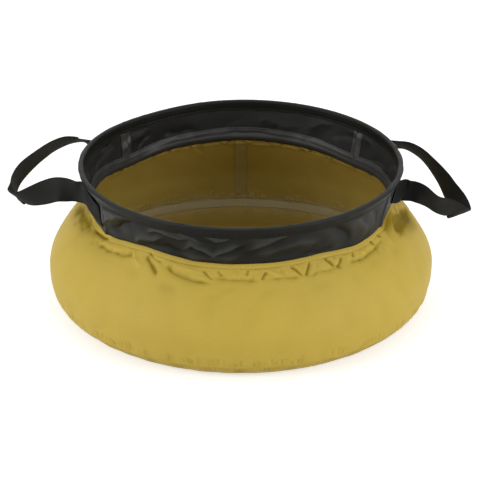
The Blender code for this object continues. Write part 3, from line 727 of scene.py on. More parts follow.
def stitches(name, centres, ways, outs, material, length=STITCH_LENGTH):
    """One mesh of short threads, each lying on the cloth with its ends dipping in."""
    sides, rings = 6, 6
    bow = np.linspace(-1.0, 1.0, rings)
    lift = THREAD_RADIUS * (1.0 - 1.9 * np.abs(bow) ** 3)
    girth = THREAD_RADIUS * np.sqrt(np.clip(1.02 - bow ** 4, 0.02, 1.0))
    turn = np.arange(sides) * TURN / sides
    across = np.cross(ways, outs)
    spine = centres[:, None] + ways[:, None] * (bow * length / 2)[None, :, None]
    spine = spine + outs[:, None] * lift[None, :, None]
    ring = outs[:, None, None] * (girth[:, None] * np.cos(turn))[None, :, :, None]
    ring = ring + across[:, None, None] * (girth[:, None] * np.sin(turn))[None, :, :, None]
    points = (spine[:, :, None] + ring).reshape(-1, 3)
    faces = []
    for k in range(rings - 1):
        for j in range(sides):
            n = (j + 1) % sides
            faces.append((k * sides + j, k * sides + n, (k + 1) * sides + n, (k + 1) * sides + j))
    caps = [tuple(range(sides))[::-1], tuple((rings - 1) * sides + j for j in range(sides))]
    each = rings * sides
    every = []
    for i in range(len(centres)):
        every += [tuple(v + i * each for v in face) for face in faces + caps]
    mesh = bpy.data.meshes.new(name)
    mesh.from_pydata(points.tolist(), [], every)
    mesh.update()
    mesh.shade_smooth()
    mesh.materials.append(material)
    return add_object(name, mesh)


def stitch_azimuths(radius):
    count = int(TURN * radius / STITCH_PITCH)
    return np.arange(count) * 360.0 / count


def stitch_row(name, surface, azimuths, alongs, material, lengthwise=False):
    """Stitches on a surface(azimuth, along), running round it or along it."""
    both = np.broadcast_arrays(azimuths, alongs)
    azimuth, along = (np.asarray(values, float).reshape(-1, 1) for values in both)
    here = surface(azimuth, along)[:, 0]
    beside = surface(azimuth + SMALL_TURN, along)[:, 0]
    below = surface(azimuth, along + SMALL_STEP)[:, 0]
    ways = below - here if lengthwise else beside - here
    outs = np.cross(below - here, beside - here)
    return stitches(name, here, unit(ways), unit(outs), material)


# Materials

class Shader:
    """A material with a Principled shader, and short ways to add nodes to it."""

    def __init__(self, name, **values):
        self.material = bpy.data.materials.new(name)
        self.material.use_nodes = True
        self.tree = self.material.node_tree
        self.surface = self.tree.nodes["Principled BSDF"]
        for socket, value in values.items():
            self.surface.inputs[socket.replace("_", " ")].default_value = value

    def add(self, kind, links=None, **values):
        node = self.tree.nodes.new(kind)
        for key, value in values.items():
            setattr(node, key, value)
        for socket, value in (links or {}).items():
            self.join(value, node.inputs[socket])
        return node

    def give(self, socket, value):
        """Sets or links one of the surface's own sockets."""
        self.join(value, self.surface.inputs[socket])

    def join(self, value, socket):
        if isinstance(value, bpy.types.NodeSocket):
            self.tree.links.new(value, socket)
        elif isinstance(value, bpy.types.Node):
            self.tree.links.new(value.outputs[0], socket)
        else:
            socket.default_value = value

    def maths(self, operation, first, second=0.0, third=0.0):
        return self.add("ShaderNodeMath", {0: first, 1: second, 2: third}, operation=operation)

    def noise(self, scale, detail=3.0):
        place = self.add("ShaderNodeTexCoord").outputs["Object"]
        links = {"Scale": scale, "Detail": detail, "Vector": place}
        return self.add("ShaderNodeTexNoise", links).outputs["Fac"]

    def ramp(self, value, low, high):
        links = {"Value": value, "To Min": low, "To Max": high}
        return self.add("ShaderNodeMapRange", links).outputs["Result"]

    def mix(self, share, first, second, blend="MIX"):
        node = self.add("ShaderNodeMix", data_type="RGBA", blend_type=blend)
        self.join(share, node.inputs[0])
        self.join(first, node.inputs[6])
        self.join(second, node.inputs[7])
        return node.outputs[2]

    def tint(self, tone, base=None):
        """The surface's colour: a base colour times a grey tone, or the tone by itself."""
        colour = self.add("ShaderNodeCombineColor", {0: tone, 1: tone, 2: tone}).outputs[0]
        if base is not None:
            colour = self.mix(1.0, base, colour, "MULTIPLY")
        self.give("Base Color", colour)

    def cloth_place(self):
        """The places across and along the cloth, in metres."""
        uv = self.add("ShaderNodeUVMap", uv_map="cloth")
        return self.add("ShaderNodeSeparateXYZ", {0: uv}).outputs[:2]

    def threads(self, place, pitch):
        """Evenly spaced threads across a direction, as a height from -1 to 1."""
        return self.maths("SINE", self.maths("MULTIPLY", place, TURN / pitch))

    def bump(self, height, distance, strength, normal=None):
        links = {"Height": height, "Distance": distance, "Strength": strength}
        if normal:
            links["Normal"] = normal
        return self.add("ShaderNodeBump", links).outputs["Normal"]


def coated_cloth(name, colour, crease, crest, roughness, crinkle=0.5, specular=0.5, dull=0.0):
    """Fine woven cloth with a satin coating, its colour darkened in the creases as painted shade and
    paled on the crests as a painted highlight, and its creases duller."""
    shader = Shader(name, Roughness=roughness, Specular_IOR_Level=specular)
    # The colour is darkened towards the crease colour in creases, as painted shade, and paled towards
    # the crest colour on crests, as a painted highlight.
    painted_shading = shader.add("ShaderNodeAttribute", attribute_name="painted_shading").outputs["Fac"]
    deep = shader.maths("MULTIPLY", painted_shading, -0.8)
    deep.use_clamp = True
    high = shader.maths("MULTIPLY", painted_shading, 0.9)
    high.use_clamp = True
    patchy = shader.ramp(shader.noise(14.0), 0.93, 1.06)
    fine = shader.ramp(shader.noise(420.0, 2.0), 0.95, 1.04)
    first, second = (shader.threads(place, CLOTH_THREAD_PITCH) for place in shader.cloth_place())
    weave = shader.maths("MULTIPLY", first, second)
    threads = shader.ramp(weave, 0.985, 1.01)
    base = shader.mix(deep, (*colour, 1.0), (*crease, 1.0))
    base = shader.mix(high, base, (*crest, 1.0))
    shader.tint(shader.maths("MULTIPLY", shader.maths("MULTIPLY", patchy, fine), threads), base)
    rough = shader.ramp(shader.noise(26.0), roughness - 0.06, roughness + 0.07)
    shader.give("Roughness", shader.maths("MULTIPLY_ADD", deep, dull, rough))
    soft = shader.bump(shader.noise(75.0, 4.0), 0.9 * MM, crinkle * 0.5)
    shader.give("Normal", shader.bump(weave, 0.03 * MM, 0.6, soft))
    return shader.material


def webbing_cloth():
    """Matt flat webbing: fine ribs across and warp threads along, with plain selvedges."""
    shader = Shader("black_webbing", Roughness=0.76, Specular_IOR_Level=0.15)
    shaded = shader.add("ShaderNodeAttribute", attribute_name="painted_shading").outputs["Fac"]
    across, along = shader.cloth_place()
    edge = shader.maths("ABSOLUTE", across)
    selvedge = shader.maths("GREATER_THAN", edge, WEBBING_WIDTH / 2 - SELVEDGE_WIDTH)
    ribs, warp = shader.threads(along, RIB_PITCH), shader.threads(across, WARP_PITCH)
    crossed, plain = shader.maths("MULTIPLY", ribs, warp), shader.maths("MULTIPLY", ribs, 0.5)
    weave = shader.maths("ADD", crossed, plain)
    patchy, threads = shader.ramp(shader.noise(60.0), 0.85, 1.15), shader.ramp(weave, 0.95, 1.08)
    base = shader.mix(selvedge, (0.0215, 0.0215, 0.0203, 1.0), (0.0165, 0.0165, 0.016, 1.0))
    # The strap's colour is darkened near its ends as painted shade.
    base = shader.mix(shaded, base, (0.003, 0.003, 0.003, 1.0))
    shader.tint(shader.maths("MULTIPLY", patchy, threads), base)
    shader.give("Normal", shader.bump(weave, 0.12 * MM, 0.5))
    return shader.material


def thread(name, colour):
    shader = Shader(name, Roughness=0.6, Specular_IOR_Level=0.35)
    shader.tint(shader.ramp(shader.noise(900.0), 0.8, 1.2), (*colour, 1.0))
    return shader.material


def seam_film(name, colour, roughness):
    """Heat-sealed tape: smooth, a little cloudy, with fine bubbles of glue."""
    shader = Shader(name, Roughness=roughness)
    shader.tint(shader.ramp(shader.noise(55.0, 5.0), 0.86, 1.12), (*colour, 1.0))
    shader.give("Roughness", shader.ramp(shader.noise(120.0), roughness - 0.08, roughness + 0.1))
    shader.give("Normal", shader.bump(shader.noise(260.0), 0.15 * MM, 0.5))
    return shader.material


def drawn_steel():
    shader = Shader("drawn_steel", Metallic=1.0, Roughness=0.3)
    shader.tint(shader.ramp(shader.noise(300.0), 0.52, 0.66))
    shader.give("Roughness", shader.ramp(shader.noise(900.0), 0.22, 0.4))
    return shader.material


# Each cloth's crease colour is painted shade and its crest colour a painted highlight.
yellow = coated_cloth("yellow_cloth", colour=(0.545, 0.392, 0.062), crease=(0.215, 0.142, 0.001),
                      crest=(0.585, 0.425, 0.08), roughness=0.55, specular=0.2, dull=0.3)
yellow_inside = coated_cloth("yellow_coating", colour=(0.47, 0.345, 0.075), crease=(0.30, 0.21, 0.03),
                             crest=(0.5, 0.37, 0.09), roughness=0.4, crinkle=0.35)
black = coated_cloth("black_cloth", colour=(0.0125, 0.0128, 0.0104), crease=(0.0012, 0.0012, 0.0010),
                     crest=(0.0370, 0.0375, 0.0330), roughness=0.44, crinkle=0.45, specular=0.14)
black_inside = coated_cloth("black_coating", colour=(0.0115, 0.0118, 0.0115),
                            crease=(0.006, 0.006, 0.006), crest=(0.015, 0.015, 0.015),
                            roughness=0.58, specular=0.18)
webbing = webbing_cloth()
# The neck and back topstitching's thread is coloured darker than the cloth, as painted shade in the
# needle holes it sinks into.
yellow_thread_painted_shade = thread("yellow_thread_painted_shade", (0.25, 0.165, 0.014))
base_thread = thread("base_thread", (0.44, 0.31, 0.03))
black_thread = thread("black_thread", (0.013, 0.013, 0.012))
tape_on_yellow = seam_film("tape_on_yellow", (0.40, 0.32, 0.12), 0.34)
tape_on_black = seam_film("tape_on_black", (0.018, 0.018, 0.0175), 0.55)
steel = drawn_steel()


# The bowl

# The skirt's rows: fine ones to this place, wider ones, then close ones near its foot, and the rows
# tucked up inside the collar, as heights above the collar's foot
FINE_ROWS_END = 26 * MM
FINE_ROW_STEP = 0.55 * MM
MIDDLE_ROW_STEP = 1.5 * MM
FOOT_ROWS_REACH = 14 * MM
TUCK_RISES = np.array([[7.0, 5.2, 3.4, 1.6]]) * MM
TUCK_GAP = 0.2 * MM
# The part of the skirt whose creases get painted shade, and what counts as a crease or crest for the
# painted shade and highlight, as the rows or columns it is compared with to each side and its full
# depth
CREASED_END, CREASED_FADE = 40 * MM, 10 * MM
SKIRT_POCKET, SKIRT_CREASE = (24, 1.6 * MM), (7, 0.7 * MM)
COLLAR_CREASE, COLLAR_BROAD_FOLD = (5, 0.8 * MM), (18, 1.2 * MM)
# Where the stitches lie beside the back seam and the collar's seams, in degrees
BACK_STITCH_TURN = 1.5
SEAM_STITCH_TURNS = (0.7, 2.0)
BASE_DROP = 0.3 * MM
FLOOR_START = 30 * MM


def fold_with_collapse(obj):
    """Bakes a piece's placement into its mesh."""
    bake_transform(obj)


def make_skirt():
    azimuth = wheel()
    foot = SKIRT_LINE.length - FOOT_ROWS_REACH
    fine = np.arange(0.0, FINE_ROWS_END, FINE_ROW_STEP)
    middle = np.arange(FINE_ROWS_END, foot, MIDDLE_ROW_STEP)
    low = np.linspace(foot, SKIRT_LINE.length, 26)
    along = np.concatenate((fine, middle, low))[None, :]
    tuck = on_collar(azimuth, above_foot(azimuth, TUCK_RISES), -(COLLAR_THICKNESS + TUCK_GAP))
    points = np.concatenate((tuck, skirt_points(azimuth, along)), 1)
    height = skirt_height(azimuth, along)
    # The skirt's colour gets painted shade in its creases, in broad hollows near the neck and beside
    # the handles, and a painted highlight on its crests.
    near_neck = smooth((CREASED_END - along) / CREASED_FADE)
    broad = np.clip(hollows(height, *SKIRT_POCKET) + 0.12, -1.0, 0.0) * near_neck
    fine = hollows(height, *SKIRT_CREASE) * (0.3 + 0.7 * near_neck)
    painted_shading = np.clip(np.minimum(fine, broad) - painted_pocket_shade(azimuth, along), -1.2, 1.0)
    painted_shading = np.concatenate((np.repeat(painted_shading[:, :1], TUCK_RISES.size, 1), painted_shading), 1)
    along = np.concatenate((-TUCK_RISES, along), 1)
    skirt = add_mesh("skirt", points, cloth_uv(azimuth, along, WIDEST[0]), yellow, True,
                     attributes={"painted_shading": painted_shading})
    thicken(skirt, SKIRT_THICKNESS, yellow_inside)
    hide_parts("skirt_panel")
    fold_with_collapse(skirt)


def make_base():
    azimuth = wheel(COARSE_COLUMNS)
    edge = np.linspace(0.0, FLOOR_START, 44)
    floor = np.linspace(FLOOR_START, BASE_LINE.length, 60)[1:]
    along = np.concatenate((edge, floor))[None, :]
    points = base_points(azimuth, along, -BASE_DROP)
    # The base's creases get painted shade and its crests a painted highlight in its colour.
    painted_shading = hollows(base_height(azimuth, along))
    base = add_mesh("base", points, cloth_uv(azimuth, along, BASE_SEAM[0]), yellow, True,
                    attributes={"painted_shading": painted_shading})
    weld(base)
    thicken(base, BASE_THICKNESS, yellow_inside)
    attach(base, "bowl")
    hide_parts("base_panel")


def make_bowl_seams():
    """Topstitching round the neck and the base seam and down the back, and the tapes inside."""
    neck_row = stitch_row("neck_topstitch", skirt_points, stitch_azimuths(NECK_STITCH_RADIUS),
                          NECK_WELT, yellow_thread_painted_shade)
    base_row = stitch_row("base_topstitch", base_points, stitch_azimuths(BASE_SEAM[0]),
                          BASE_WELT, base_thread)
    alongs = np.arange(NECK_WELT + 3 * MM, SKIRT_LINE.length - 6 * MM, STITCH_PITCH)
    sides = [np.full_like(alongs, 180.0 + turn) for turn in (-BACK_STITCH_TURN, BACK_STITCH_TURN)]
    back_rows = stitch_row("back_topstitch", skirt_points, np.concatenate(sides),
                           np.concatenate((alongs, alongs)), yellow_thread_painted_shade, True)
    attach(base_row, "bowl")
    for row in (neck_row, back_rows):
        fold_with_collapse(row)

    inside = -(SKIRT_THICKNESS + TAPE_GAP)
    half = degrees(TAPE_WIDTH / 2 / WIDEST[0])
    azimuth = wheel(9, 180.0 - half, 180.0 + half, False)
    along = np.linspace(12 * MM, SKIRT_LINE.length - 7 * MM, 90)[None, :]
    back_tape = add_mesh("back_tape", skirt_points(azimuth, along, inside),
                         cloth_uv(azimuth, along, WIDEST[0]), tape_on_yellow)
    thicken(back_tape, TAPE_THICKNESS)
    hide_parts("skirt_seam_tape")
    fold_with_collapse(back_tape)

    azimuth = wheel(COARSE_COLUMNS)
    rise = np.linspace(SKIRT_LINE.length - 5 * MM, SKIRT_LINE.length - 1 * MM, 7)[None, :]
    fall = np.linspace(1.5 * MM, 8 * MM, 9)[None, :]
    upper = skirt_points(azimuth, rise, inside)
    lower = base_points(azimuth, fall, -BASE_DROP - BASE_THICKNESS - TAPE_GAP)
    along = np.concatenate((rise, SKIRT_LINE.length + fall), 1)
    base_tape = add_mesh("base_tape", np.concatenate((upper, lower), 1),
                         cloth_uv(azimuth, along, BASE_SEAM[0]), tape_on_yellow, True)
    thicken(base_tape, TAPE_THICKNESS)
    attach(base_tape, "bowl")
    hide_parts("base_seam_tape")


# The collar and its rim

def make_collar():
    share = np.concatenate((np.linspace(0.0, 0.93, 66), np.linspace(0.94, 1.0, 8)))[None, :]
    spans = {"front": ("front_left", "front_right", 0.5), "right": ("front_right", "rear_right", 0.0),
             "rear": ("rear_right", "rear_left", 0.5), "left": ("rear_left", "front_left", 0.0)}
    for side, (first, last, overlap) in spans.items():
        start, end = seam_azimuth(first, share) - overlap, seam_azimuth(last, share) + overlap
        end = start + (end - start) % 360.0
        columns = int((end - start).max() * 3.2)
        azimuth = start + (end - start) * np.linspace(0.0, 1.0, columns)[:, None]
        edge = np.minimum(azimuth - start, end - azimuth) * radians(1.0) * COLLAR_MEAN_RADIUS
        if overlap:
            lap = LAP_HEIGHT * smooth((LAP_WIDTH - edge) / LAP_FALL) * smooth(edge / LAP_EDGE)
        else:
            lap = -seam_groove(edge)
        points = collar_points(azimuth, share, lap)
        level = COLLAR_TOP - share * (COLLAR_TOP - COLLAR_FOOT_HEIGHT)
        height = collar_height(azimuth, level) + lap
        # The collar's creases and broad folds get painted shade and its crests a painted highlight in
        # its colour.
        painted_shading = 0.5 * hollows(height, *COLLAR_CREASE) + 0.8 * hollows(height, *COLLAR_BROAD_FOLD)
        panel = add_mesh(f"collar_{side}", points, cloth_uv(azimuth, level, COLLAR_MEAN_RADIUS),
                         black, attributes={"painted_shading": painted_shading})
        thicken(panel, COLLAR_THICKNESS, black_inside)
        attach(panel, "collar")
        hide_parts(f"collar_{side}_panel")


def seam_groove(edge):
    """How deep the cloth is drawn in beside a collar seam."""
    return GROOVE_DEPTH * bell(edge - GROOVE_PLACE, GROOVE_SPREAD)


def on_collar(azimuth, below, proud=0.95 * MM):
    """Points a distance below the hoop's middle, on the collar."""
    foot = COLLAR_FOOT_HEIGHT + neck_shift(azimuth)
    return collar_points(azimuth, (below - COLLAR_TOP_DROP) / (COLLAR_TOP - foot), proud)


def above_foot(azimuth, rise):
    """The distance below the hoop's middle of a place that is rise above the collar's foot."""
    return RIM_HEIGHT - COLLAR_FOOT_HEIGHT - neck_shift(azimuth) - rise


def make_collar_seams():
    rows = []
    for place, (foot, _) in SEAMS.items():
        inwards = 1 if place in ("front_left", "rear_right") else -1
        below = np.arange(CASING_LIP + 2 * MM, above_foot(foot, 2 * MM), STITCH_PITCH)
        share = (below - COLLAR_TOP_DROP) / (above_foot(foot, 0.0) - COLLAR_TOP_DROP)
        for turn in SEAM_STITCH_TURNS:
            rows.append((seam_azimuth(place, share) + inwards * turn, below))
    azimuths, belows = (np.concatenate([row[i] for row in rows]) for i in (0, 1))
    seam = stitch_row("collar_topstitch", on_collar, azimuths, belows, black_thread, True)
    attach(seam, "collar")

    half = degrees(TAPE_WIDTH / 2 / NECK[0])
    inside = -(COLLAR_THICKNESS + TAPE_GAP)
    for place, (foot, _) in SEAMS.items():
        below = np.linspace(CASING_LIP + TAPE_GAP, above_foot(foot, 8 * MM), 30)[None, :]
        offset = np.linspace(-half, half, 21)[:, None]
        azimuth = seam_azimuth(place, below / COLLAR_DEPTH) + offset
        ridge = SEAM_RIDGE_HEIGHT * bell(np.radians(offset) * COLLAR_MEAN_RADIUS, SEAM_RIDGE_SPREAD)
        tape = add_mesh(f"collar_tape_{place}", on_collar(azimuth, below, inside - ridge),
                        cloth_uv(azimuth, below, NECK[0]), tape_on_black)
        thicken(tape, TAPE_THICKNESS)
        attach(tape, "collar")
        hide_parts(f"collar_seam_tape_{place}")


def make_neck_tape():
    """The tape goes down the collar's inner face, over the tucked edge of the skirt, round a corner
    that keeps clear of both cloths' dents, and on down the skirt."""
    azimuth = wheel(COARSE_COLUMNS)
    rise = np.linspace(10.5, 2.5, 11)[None, :] * MM
    behind = COLLAR_THICKNESS + TUCK_GAP + SKIRT_THICKNESS * smooth((8.5 * MM - rise) / (2 * MM))
    upper = on_collar(azimuth, above_foot(azimuth, rise), -(behind + TAPE_GAP))
    along = np.linspace(1.0 * MM, 7 * MM, 11)[None, :]
    dent = np.minimum(0.0, skirt_height(azimuth, along[:, :3])).min(1, keepdims=True)
    dent += np.minimum(0.0, collar_height(azimuth, COLLAR_FOOT_HEIGHT + neck_shift(azimuth)))
    level = NECK[1] - TAPE_GAP + neck_shift(azimuth)
    corner = round_point(NECK[0] - 1.8 * MM + dent, azimuth, level)
    lower = skirt_points(azimuth, along, -(SKIRT_THICKNESS + 0.5 * MM))
    line = np.concatenate((-rise, np.zeros((1, 1)), along), 1)
    tape = add_mesh("neck_tape", np.concatenate((upper, corner, lower), 1),
                    cloth_uv(azimuth, line, NECK[0]), tape_on_black, True)
    thicken(tape, TAPE_THICKNESS)
    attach(tape, "collar")
    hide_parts("neck_seam_tape")


def casing_section():
    """The casing's outer face: out from and up from the hoop's middle, from hem to hem."""
    start = pi - CASING_OPENING
    turns = np.linspace(start, -start, 30)
    arc = np.stack((CASING_RADIUS * np.sin(turns), CASING_RADIUS * np.cos(turns)), -1)
    down = np.linspace(0.0, 1.0, 14)[:, None]
    outer = np.array((CASING_LIP_HALF, -CASING_LIP)) * (1 - down) + arc[0] * down
    inner = arc[-1] * (1 - down) + np.array((-CASING_LIP_HALF, -CASING_LIP)) * down
    hem = np.array(((CASING_LIP_HALF - CASING_HEM[0], -CASING_LIP + CASING_HEM[1]),))
    return np.concatenate((hem, outer[:-1], arc, inner[1:], hem * (-1.0, 1.0)))


def at_handle_roots(azimuth, middle, spread):
    """1 where a handle's end passes under the casing, at a front and a rear azimuth on both sides."""
    return sum(bell(np.abs(wrapped(azimuth)) - at, spread) for at in (middle, 193.0 - middle))


# The casing: its thread draws it in, its free lip waves and is pushed out and up by the handles' ends
# (azimuth and spread in degrees, and how fully), and its cloth is draped
THREAD_DEPTH, THREAD_SPREAD = 0.25 * MM, 0.9 * MM
CASING_PUCKER_HEIGHT, CASING_PUCKER_SPREAD = 0.1 * MM, 1.4 * MM
DRAPE_HEIGHT = 0.16 * MM
LIP_WAVE_HEIGHT, LIP_WAVES = 0.3 * MM, 37
LIP_PUSH, LIP_PUSH_AZIMUTH, LIP_PUSH_SPREAD = 0.6 * MM, 62.0, 5.0
LIP_LIFT, LIP_LIFT_AZIMUTH, LIP_LIFT_SPREAD, LIP_LIFT_SHARE = 5.8 * MM, 70.0, 8.0, 1.6


def casing_points(azimuth, step):
    """Points of the casing at a step of its section, counted from the outer hem."""
    section = casing_section()
    out, up = (np.interp(step, np.arange(len(section)), section[:, i]) for i in (0, 1))
    lip = np.clip((-up - CASING_RADIUS) / (CASING_LIP - CASING_RADIUS), 0.0, 1.0)
    outside = smooth(out / MM)
    from_thread = up + CASING_STITCH_DROP
    drape = DRAPE_HEIGHT * ripples(azimuth, up * 0.5, "casing")
    stitch = TURN * (np.radians(azimuth) * RIM_RADIUS) / STITCH_PITCH
    pucker = CASING_PUCKER_HEIGHT * np.cos(stitch) * bell(from_thread, CASING_PUCKER_SPREAD)
    out = out + np.sign(out) * (drape + pucker - THREAD_DEPTH * bell(from_thread, THREAD_SPREAD))
    push = at_handle_roots(azimuth, LIP_PUSH_AZIMUTH, LIP_PUSH_SPREAD)
    out = out + LIP_PUSH * outside * lip * push
    up = up + LIP_WAVE_HEIGHT * lip * np.sin(np.radians(azimuth) * LIP_WAVES)
    lift = LIP_LIFT_SHARE * at_handle_roots(azimuth, LIP_LIFT_AZIMUTH, LIP_LIFT_SPREAD)
    up = up + LIP_LIFT * outside * lip * np.minimum(lift, 1.0)
    slope = np.hypot(1.0, COLLAR_SLOPE)
    radius = RIM_RADIUS + (out + up * COLLAR_SLOPE) / slope - rim_pinch(azimuth)
    height = RIM_HEIGHT + (up - out * COLLAR_SLOPE) / slope
    return round_point(radius, azimuth, height)


def make_casing():
    azimuth = wheel()
    section = casing_section()
    step = np.arange(len(section), dtype=float)[None, ::-1]
    # The casing's colour is paled on its crown as a painted highlight and darkened on its sides and lip
    # as painted shade.
    crown = smooth((section[::-1, 1] - 1.2 * MM) / (1.4 * MM)) * 1.1 - 0.75
    painted_shading = np.broadcast_to(crown, (len(azimuth), len(section)))
    uv = cloth_uv(azimuth, step * 0.7 * MM, RIM_RADIUS)
    casing = add_mesh("rim_cover", casing_points(azimuth, step), uv, black, True,
                      attributes={"painted_shading": painted_shading})
    thicken(casing, CASING_THICKNESS, black_inside)
    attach(casing, "collar")
    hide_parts("rim_casing")


def make_casing_stitches():
    section = casing_section()
    half = len(section) // 2
    azimuth = stitch_azimuths(RIM_RADIUS)
    outer = np.interp(-CASING_STITCH_DROP, section[1:half, 1], np.arange(1, half))
    for name, step, sign in (("outer", outer, 1), ("inner", len(section) - 1 - outer, -1)):
        here, beside = (casing_points(at[:, None], np.array([[step]]))[:, 0]
                        for at in (azimuth, azimuth + SMALL_TURN))
        outs = unit(round_point(1.0, azimuth, -COLLAR_SLOPE) * sign)
        row = stitches(f"casing_stitches_{name}", here, unit(beside - here), outs, black_thread)
        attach(row, "collar")


def make_hoop():
    """The springy wire inside the casing, pressed in where the rim is."""
    azimuth = wheel(COARSE_COLUMNS)
    turn = np.linspace(0.0, TURN, 13)[None, :]
    radius = RIM_RADIUS - rim_pinch(azimuth) + HOOP_WIRE_RADIUS * np.sin(turn)
    points = round_point(radius, azimuth, RIM_HEIGHT + HOOP_WIRE_RADIUS * np.cos(turn))
    uv = cloth_uv(azimuth, turn * HOOP_WIRE_RADIUS, RIM_RADIUS)
    hoop = add_mesh("hoop_wire", points, uv, steel, True)
    weld(hoop)
    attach(hoop, "collar")
    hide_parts("rim_hoop")


# The handles

def catmull_rom(points, samples):
    """A smooth line through points, as many samples to each span."""
    points = np.asarray(points, float)
    padded = np.concatenate((points[:1] * 2 - points[1:2], points, points[-1:] * 2 - points[-2:-1]))
    t = (np.arange(samples) / samples)[None, :, None]
    a, b, c, d = (padded[i:len(padded) - 3 + i, None] for i in range(4))
    square, cube = 2 * a - 5 * b + 4 * c - d, 3 * b - a - 3 * c + d
    line = (2 * b + (c - a) * t + square * t ** 2 + cube * t ** 3) / 2
    return np.concatenate((line.reshape(-1, points.shape[1]), points[-1:]))


def handle_end(side, rear):
    """One sewn end as a front right one: along the collar, folded outwards and turned to the hinge."""
    seam, span = (180.0 - REAR_SEAM_AZIMUTH, REAR_SPAN) if rear else (SEAM_AZIMUTH, FRONT_SPAN)
    _, along, rise, lean = HANDLE_PLACE_SHARES[side][-1 if rear else 0]
    tilt = degrees(np.arctan(COLLAR_SLOPE))
    drop, standoff, low = 0.0, 0.0, HANDLE_MIDDLE
    if not rear:
        drop, standoff, low = TAB_DROPS[side], FOLD_STANDOFFS[side], HANDLE_MIDDLE + FOLD_RISES[side]
    turned = FOLD_LEANS[side]
    fold_start = seam + degrees((END_LENGTH - FOLD_RADIUS) / (TAB_RADIUS + 1.5 * MM))
    first = seam + 0.2 if rear else END_STARTS[side]
    places = []
    for share in np.linspace(0.0, 1.0, 6):
        sunk = drop * (1.0 - share ** 1.4)
        radius = TAB_RADIUS - COLLAR_SLOPE * sunk + standoff * share ** 2
        lean_here = tilt + (turned - tilt) * share ** 2
        turn = first + (fold_start - first) * share
        places.append((*round_point(radius, turn, low - sunk), lean_here))
    x, y = places[-1][:2]
    ahead = np.array((cos(radians(fold_start)), sin(radians(fold_start))))
    corner = np.array((x, y)) + ahead * ((-span - y) / ahead[1]) + (WEBBING_THICKNESS, 0.0)
    fold_end = corner + (FOLD_RADIUS, 0.0)
    halfway = (np.array((x, y)) + corner * 2 + fold_end) / 4
    places.append((*halfway, low, turned))
    for share in (0.0, 0.34, 0.67):
        eased = smooth(share)
        x = fold_end[0] + (HINGE_RADIUS - fold_end[0]) * share
        y = fold_end[1] + (-FRONT_SPAN * abs(along) - fold_end[1]) * share
        height = low + (HANDLE_MIDDLE + WEBBING_WIDTH * rise - low) * eased
        places.append((x, y, height, turned - (lean + turned) * eased))
    return places


def handle_route(side):
    """Points of the whole strip, as it would be on the right: x, y, z and its upper edge's lean."""
    loop = [(HINGE_RADIUS + HANDLE_REACH * out, FRONT_SPAN * along,
             HANDLE_MIDDLE + WEBBING_WIDTH * rise, -lean)
            for out, along, rise, lean in HANDLE_PLACE_SHARES[side]]
    rear = [(x, -y, z, lean) for x, y, z, lean in reversed(handle_end(side, True))]
    rough = catmull_rom(handle_end(side, False) + loop + rear, 12)
    arc = distances(rough[:, :3])
    at = np.linspace(0.0, arc[-1], int(arc[-1] / ROUTE_STEP))
    return softened(spaced(rough, arc, at), 6)


def strap_section():
    """The webbing's section: across its width and out of its face, with soft selvedges."""
    half, thin = WEBBING_WIDTH / 2, WEBBING_THICKNESS / 2
    share = np.sin(np.linspace(-pi / 2, pi / 2, 9))
    across = share * half
    bulge = thin * (1.0 - 0.55 * np.abs(share) ** 14)
    upper = np.stack((across, bulge), -1)
    lower = np.stack((across[::-1], -bulge[::-1]), -1)
    edge = np.array(((half + 0.1 * MM, 0.0),))
    return np.concatenate((upper, edge, lower, -edge))


def pressed(points):
    """Moves a handle's points in with the pinched rim, less and less away from the collar."""
    radius = np.hypot(points[..., 0], points[..., 1])
    azimuth = np.degrees(np.arctan2(points[..., 0], -points[..., 1]))
    near = smooth((PRESSED_RADIUS - radius) / PRESSED_FADE)
    shrink = 1.0 - rim_pinch(azimuth) * pinch_share(points[..., 2]) * near / radius
    return points * np.stack((shrink, shrink, np.ones_like(shrink)), -1)


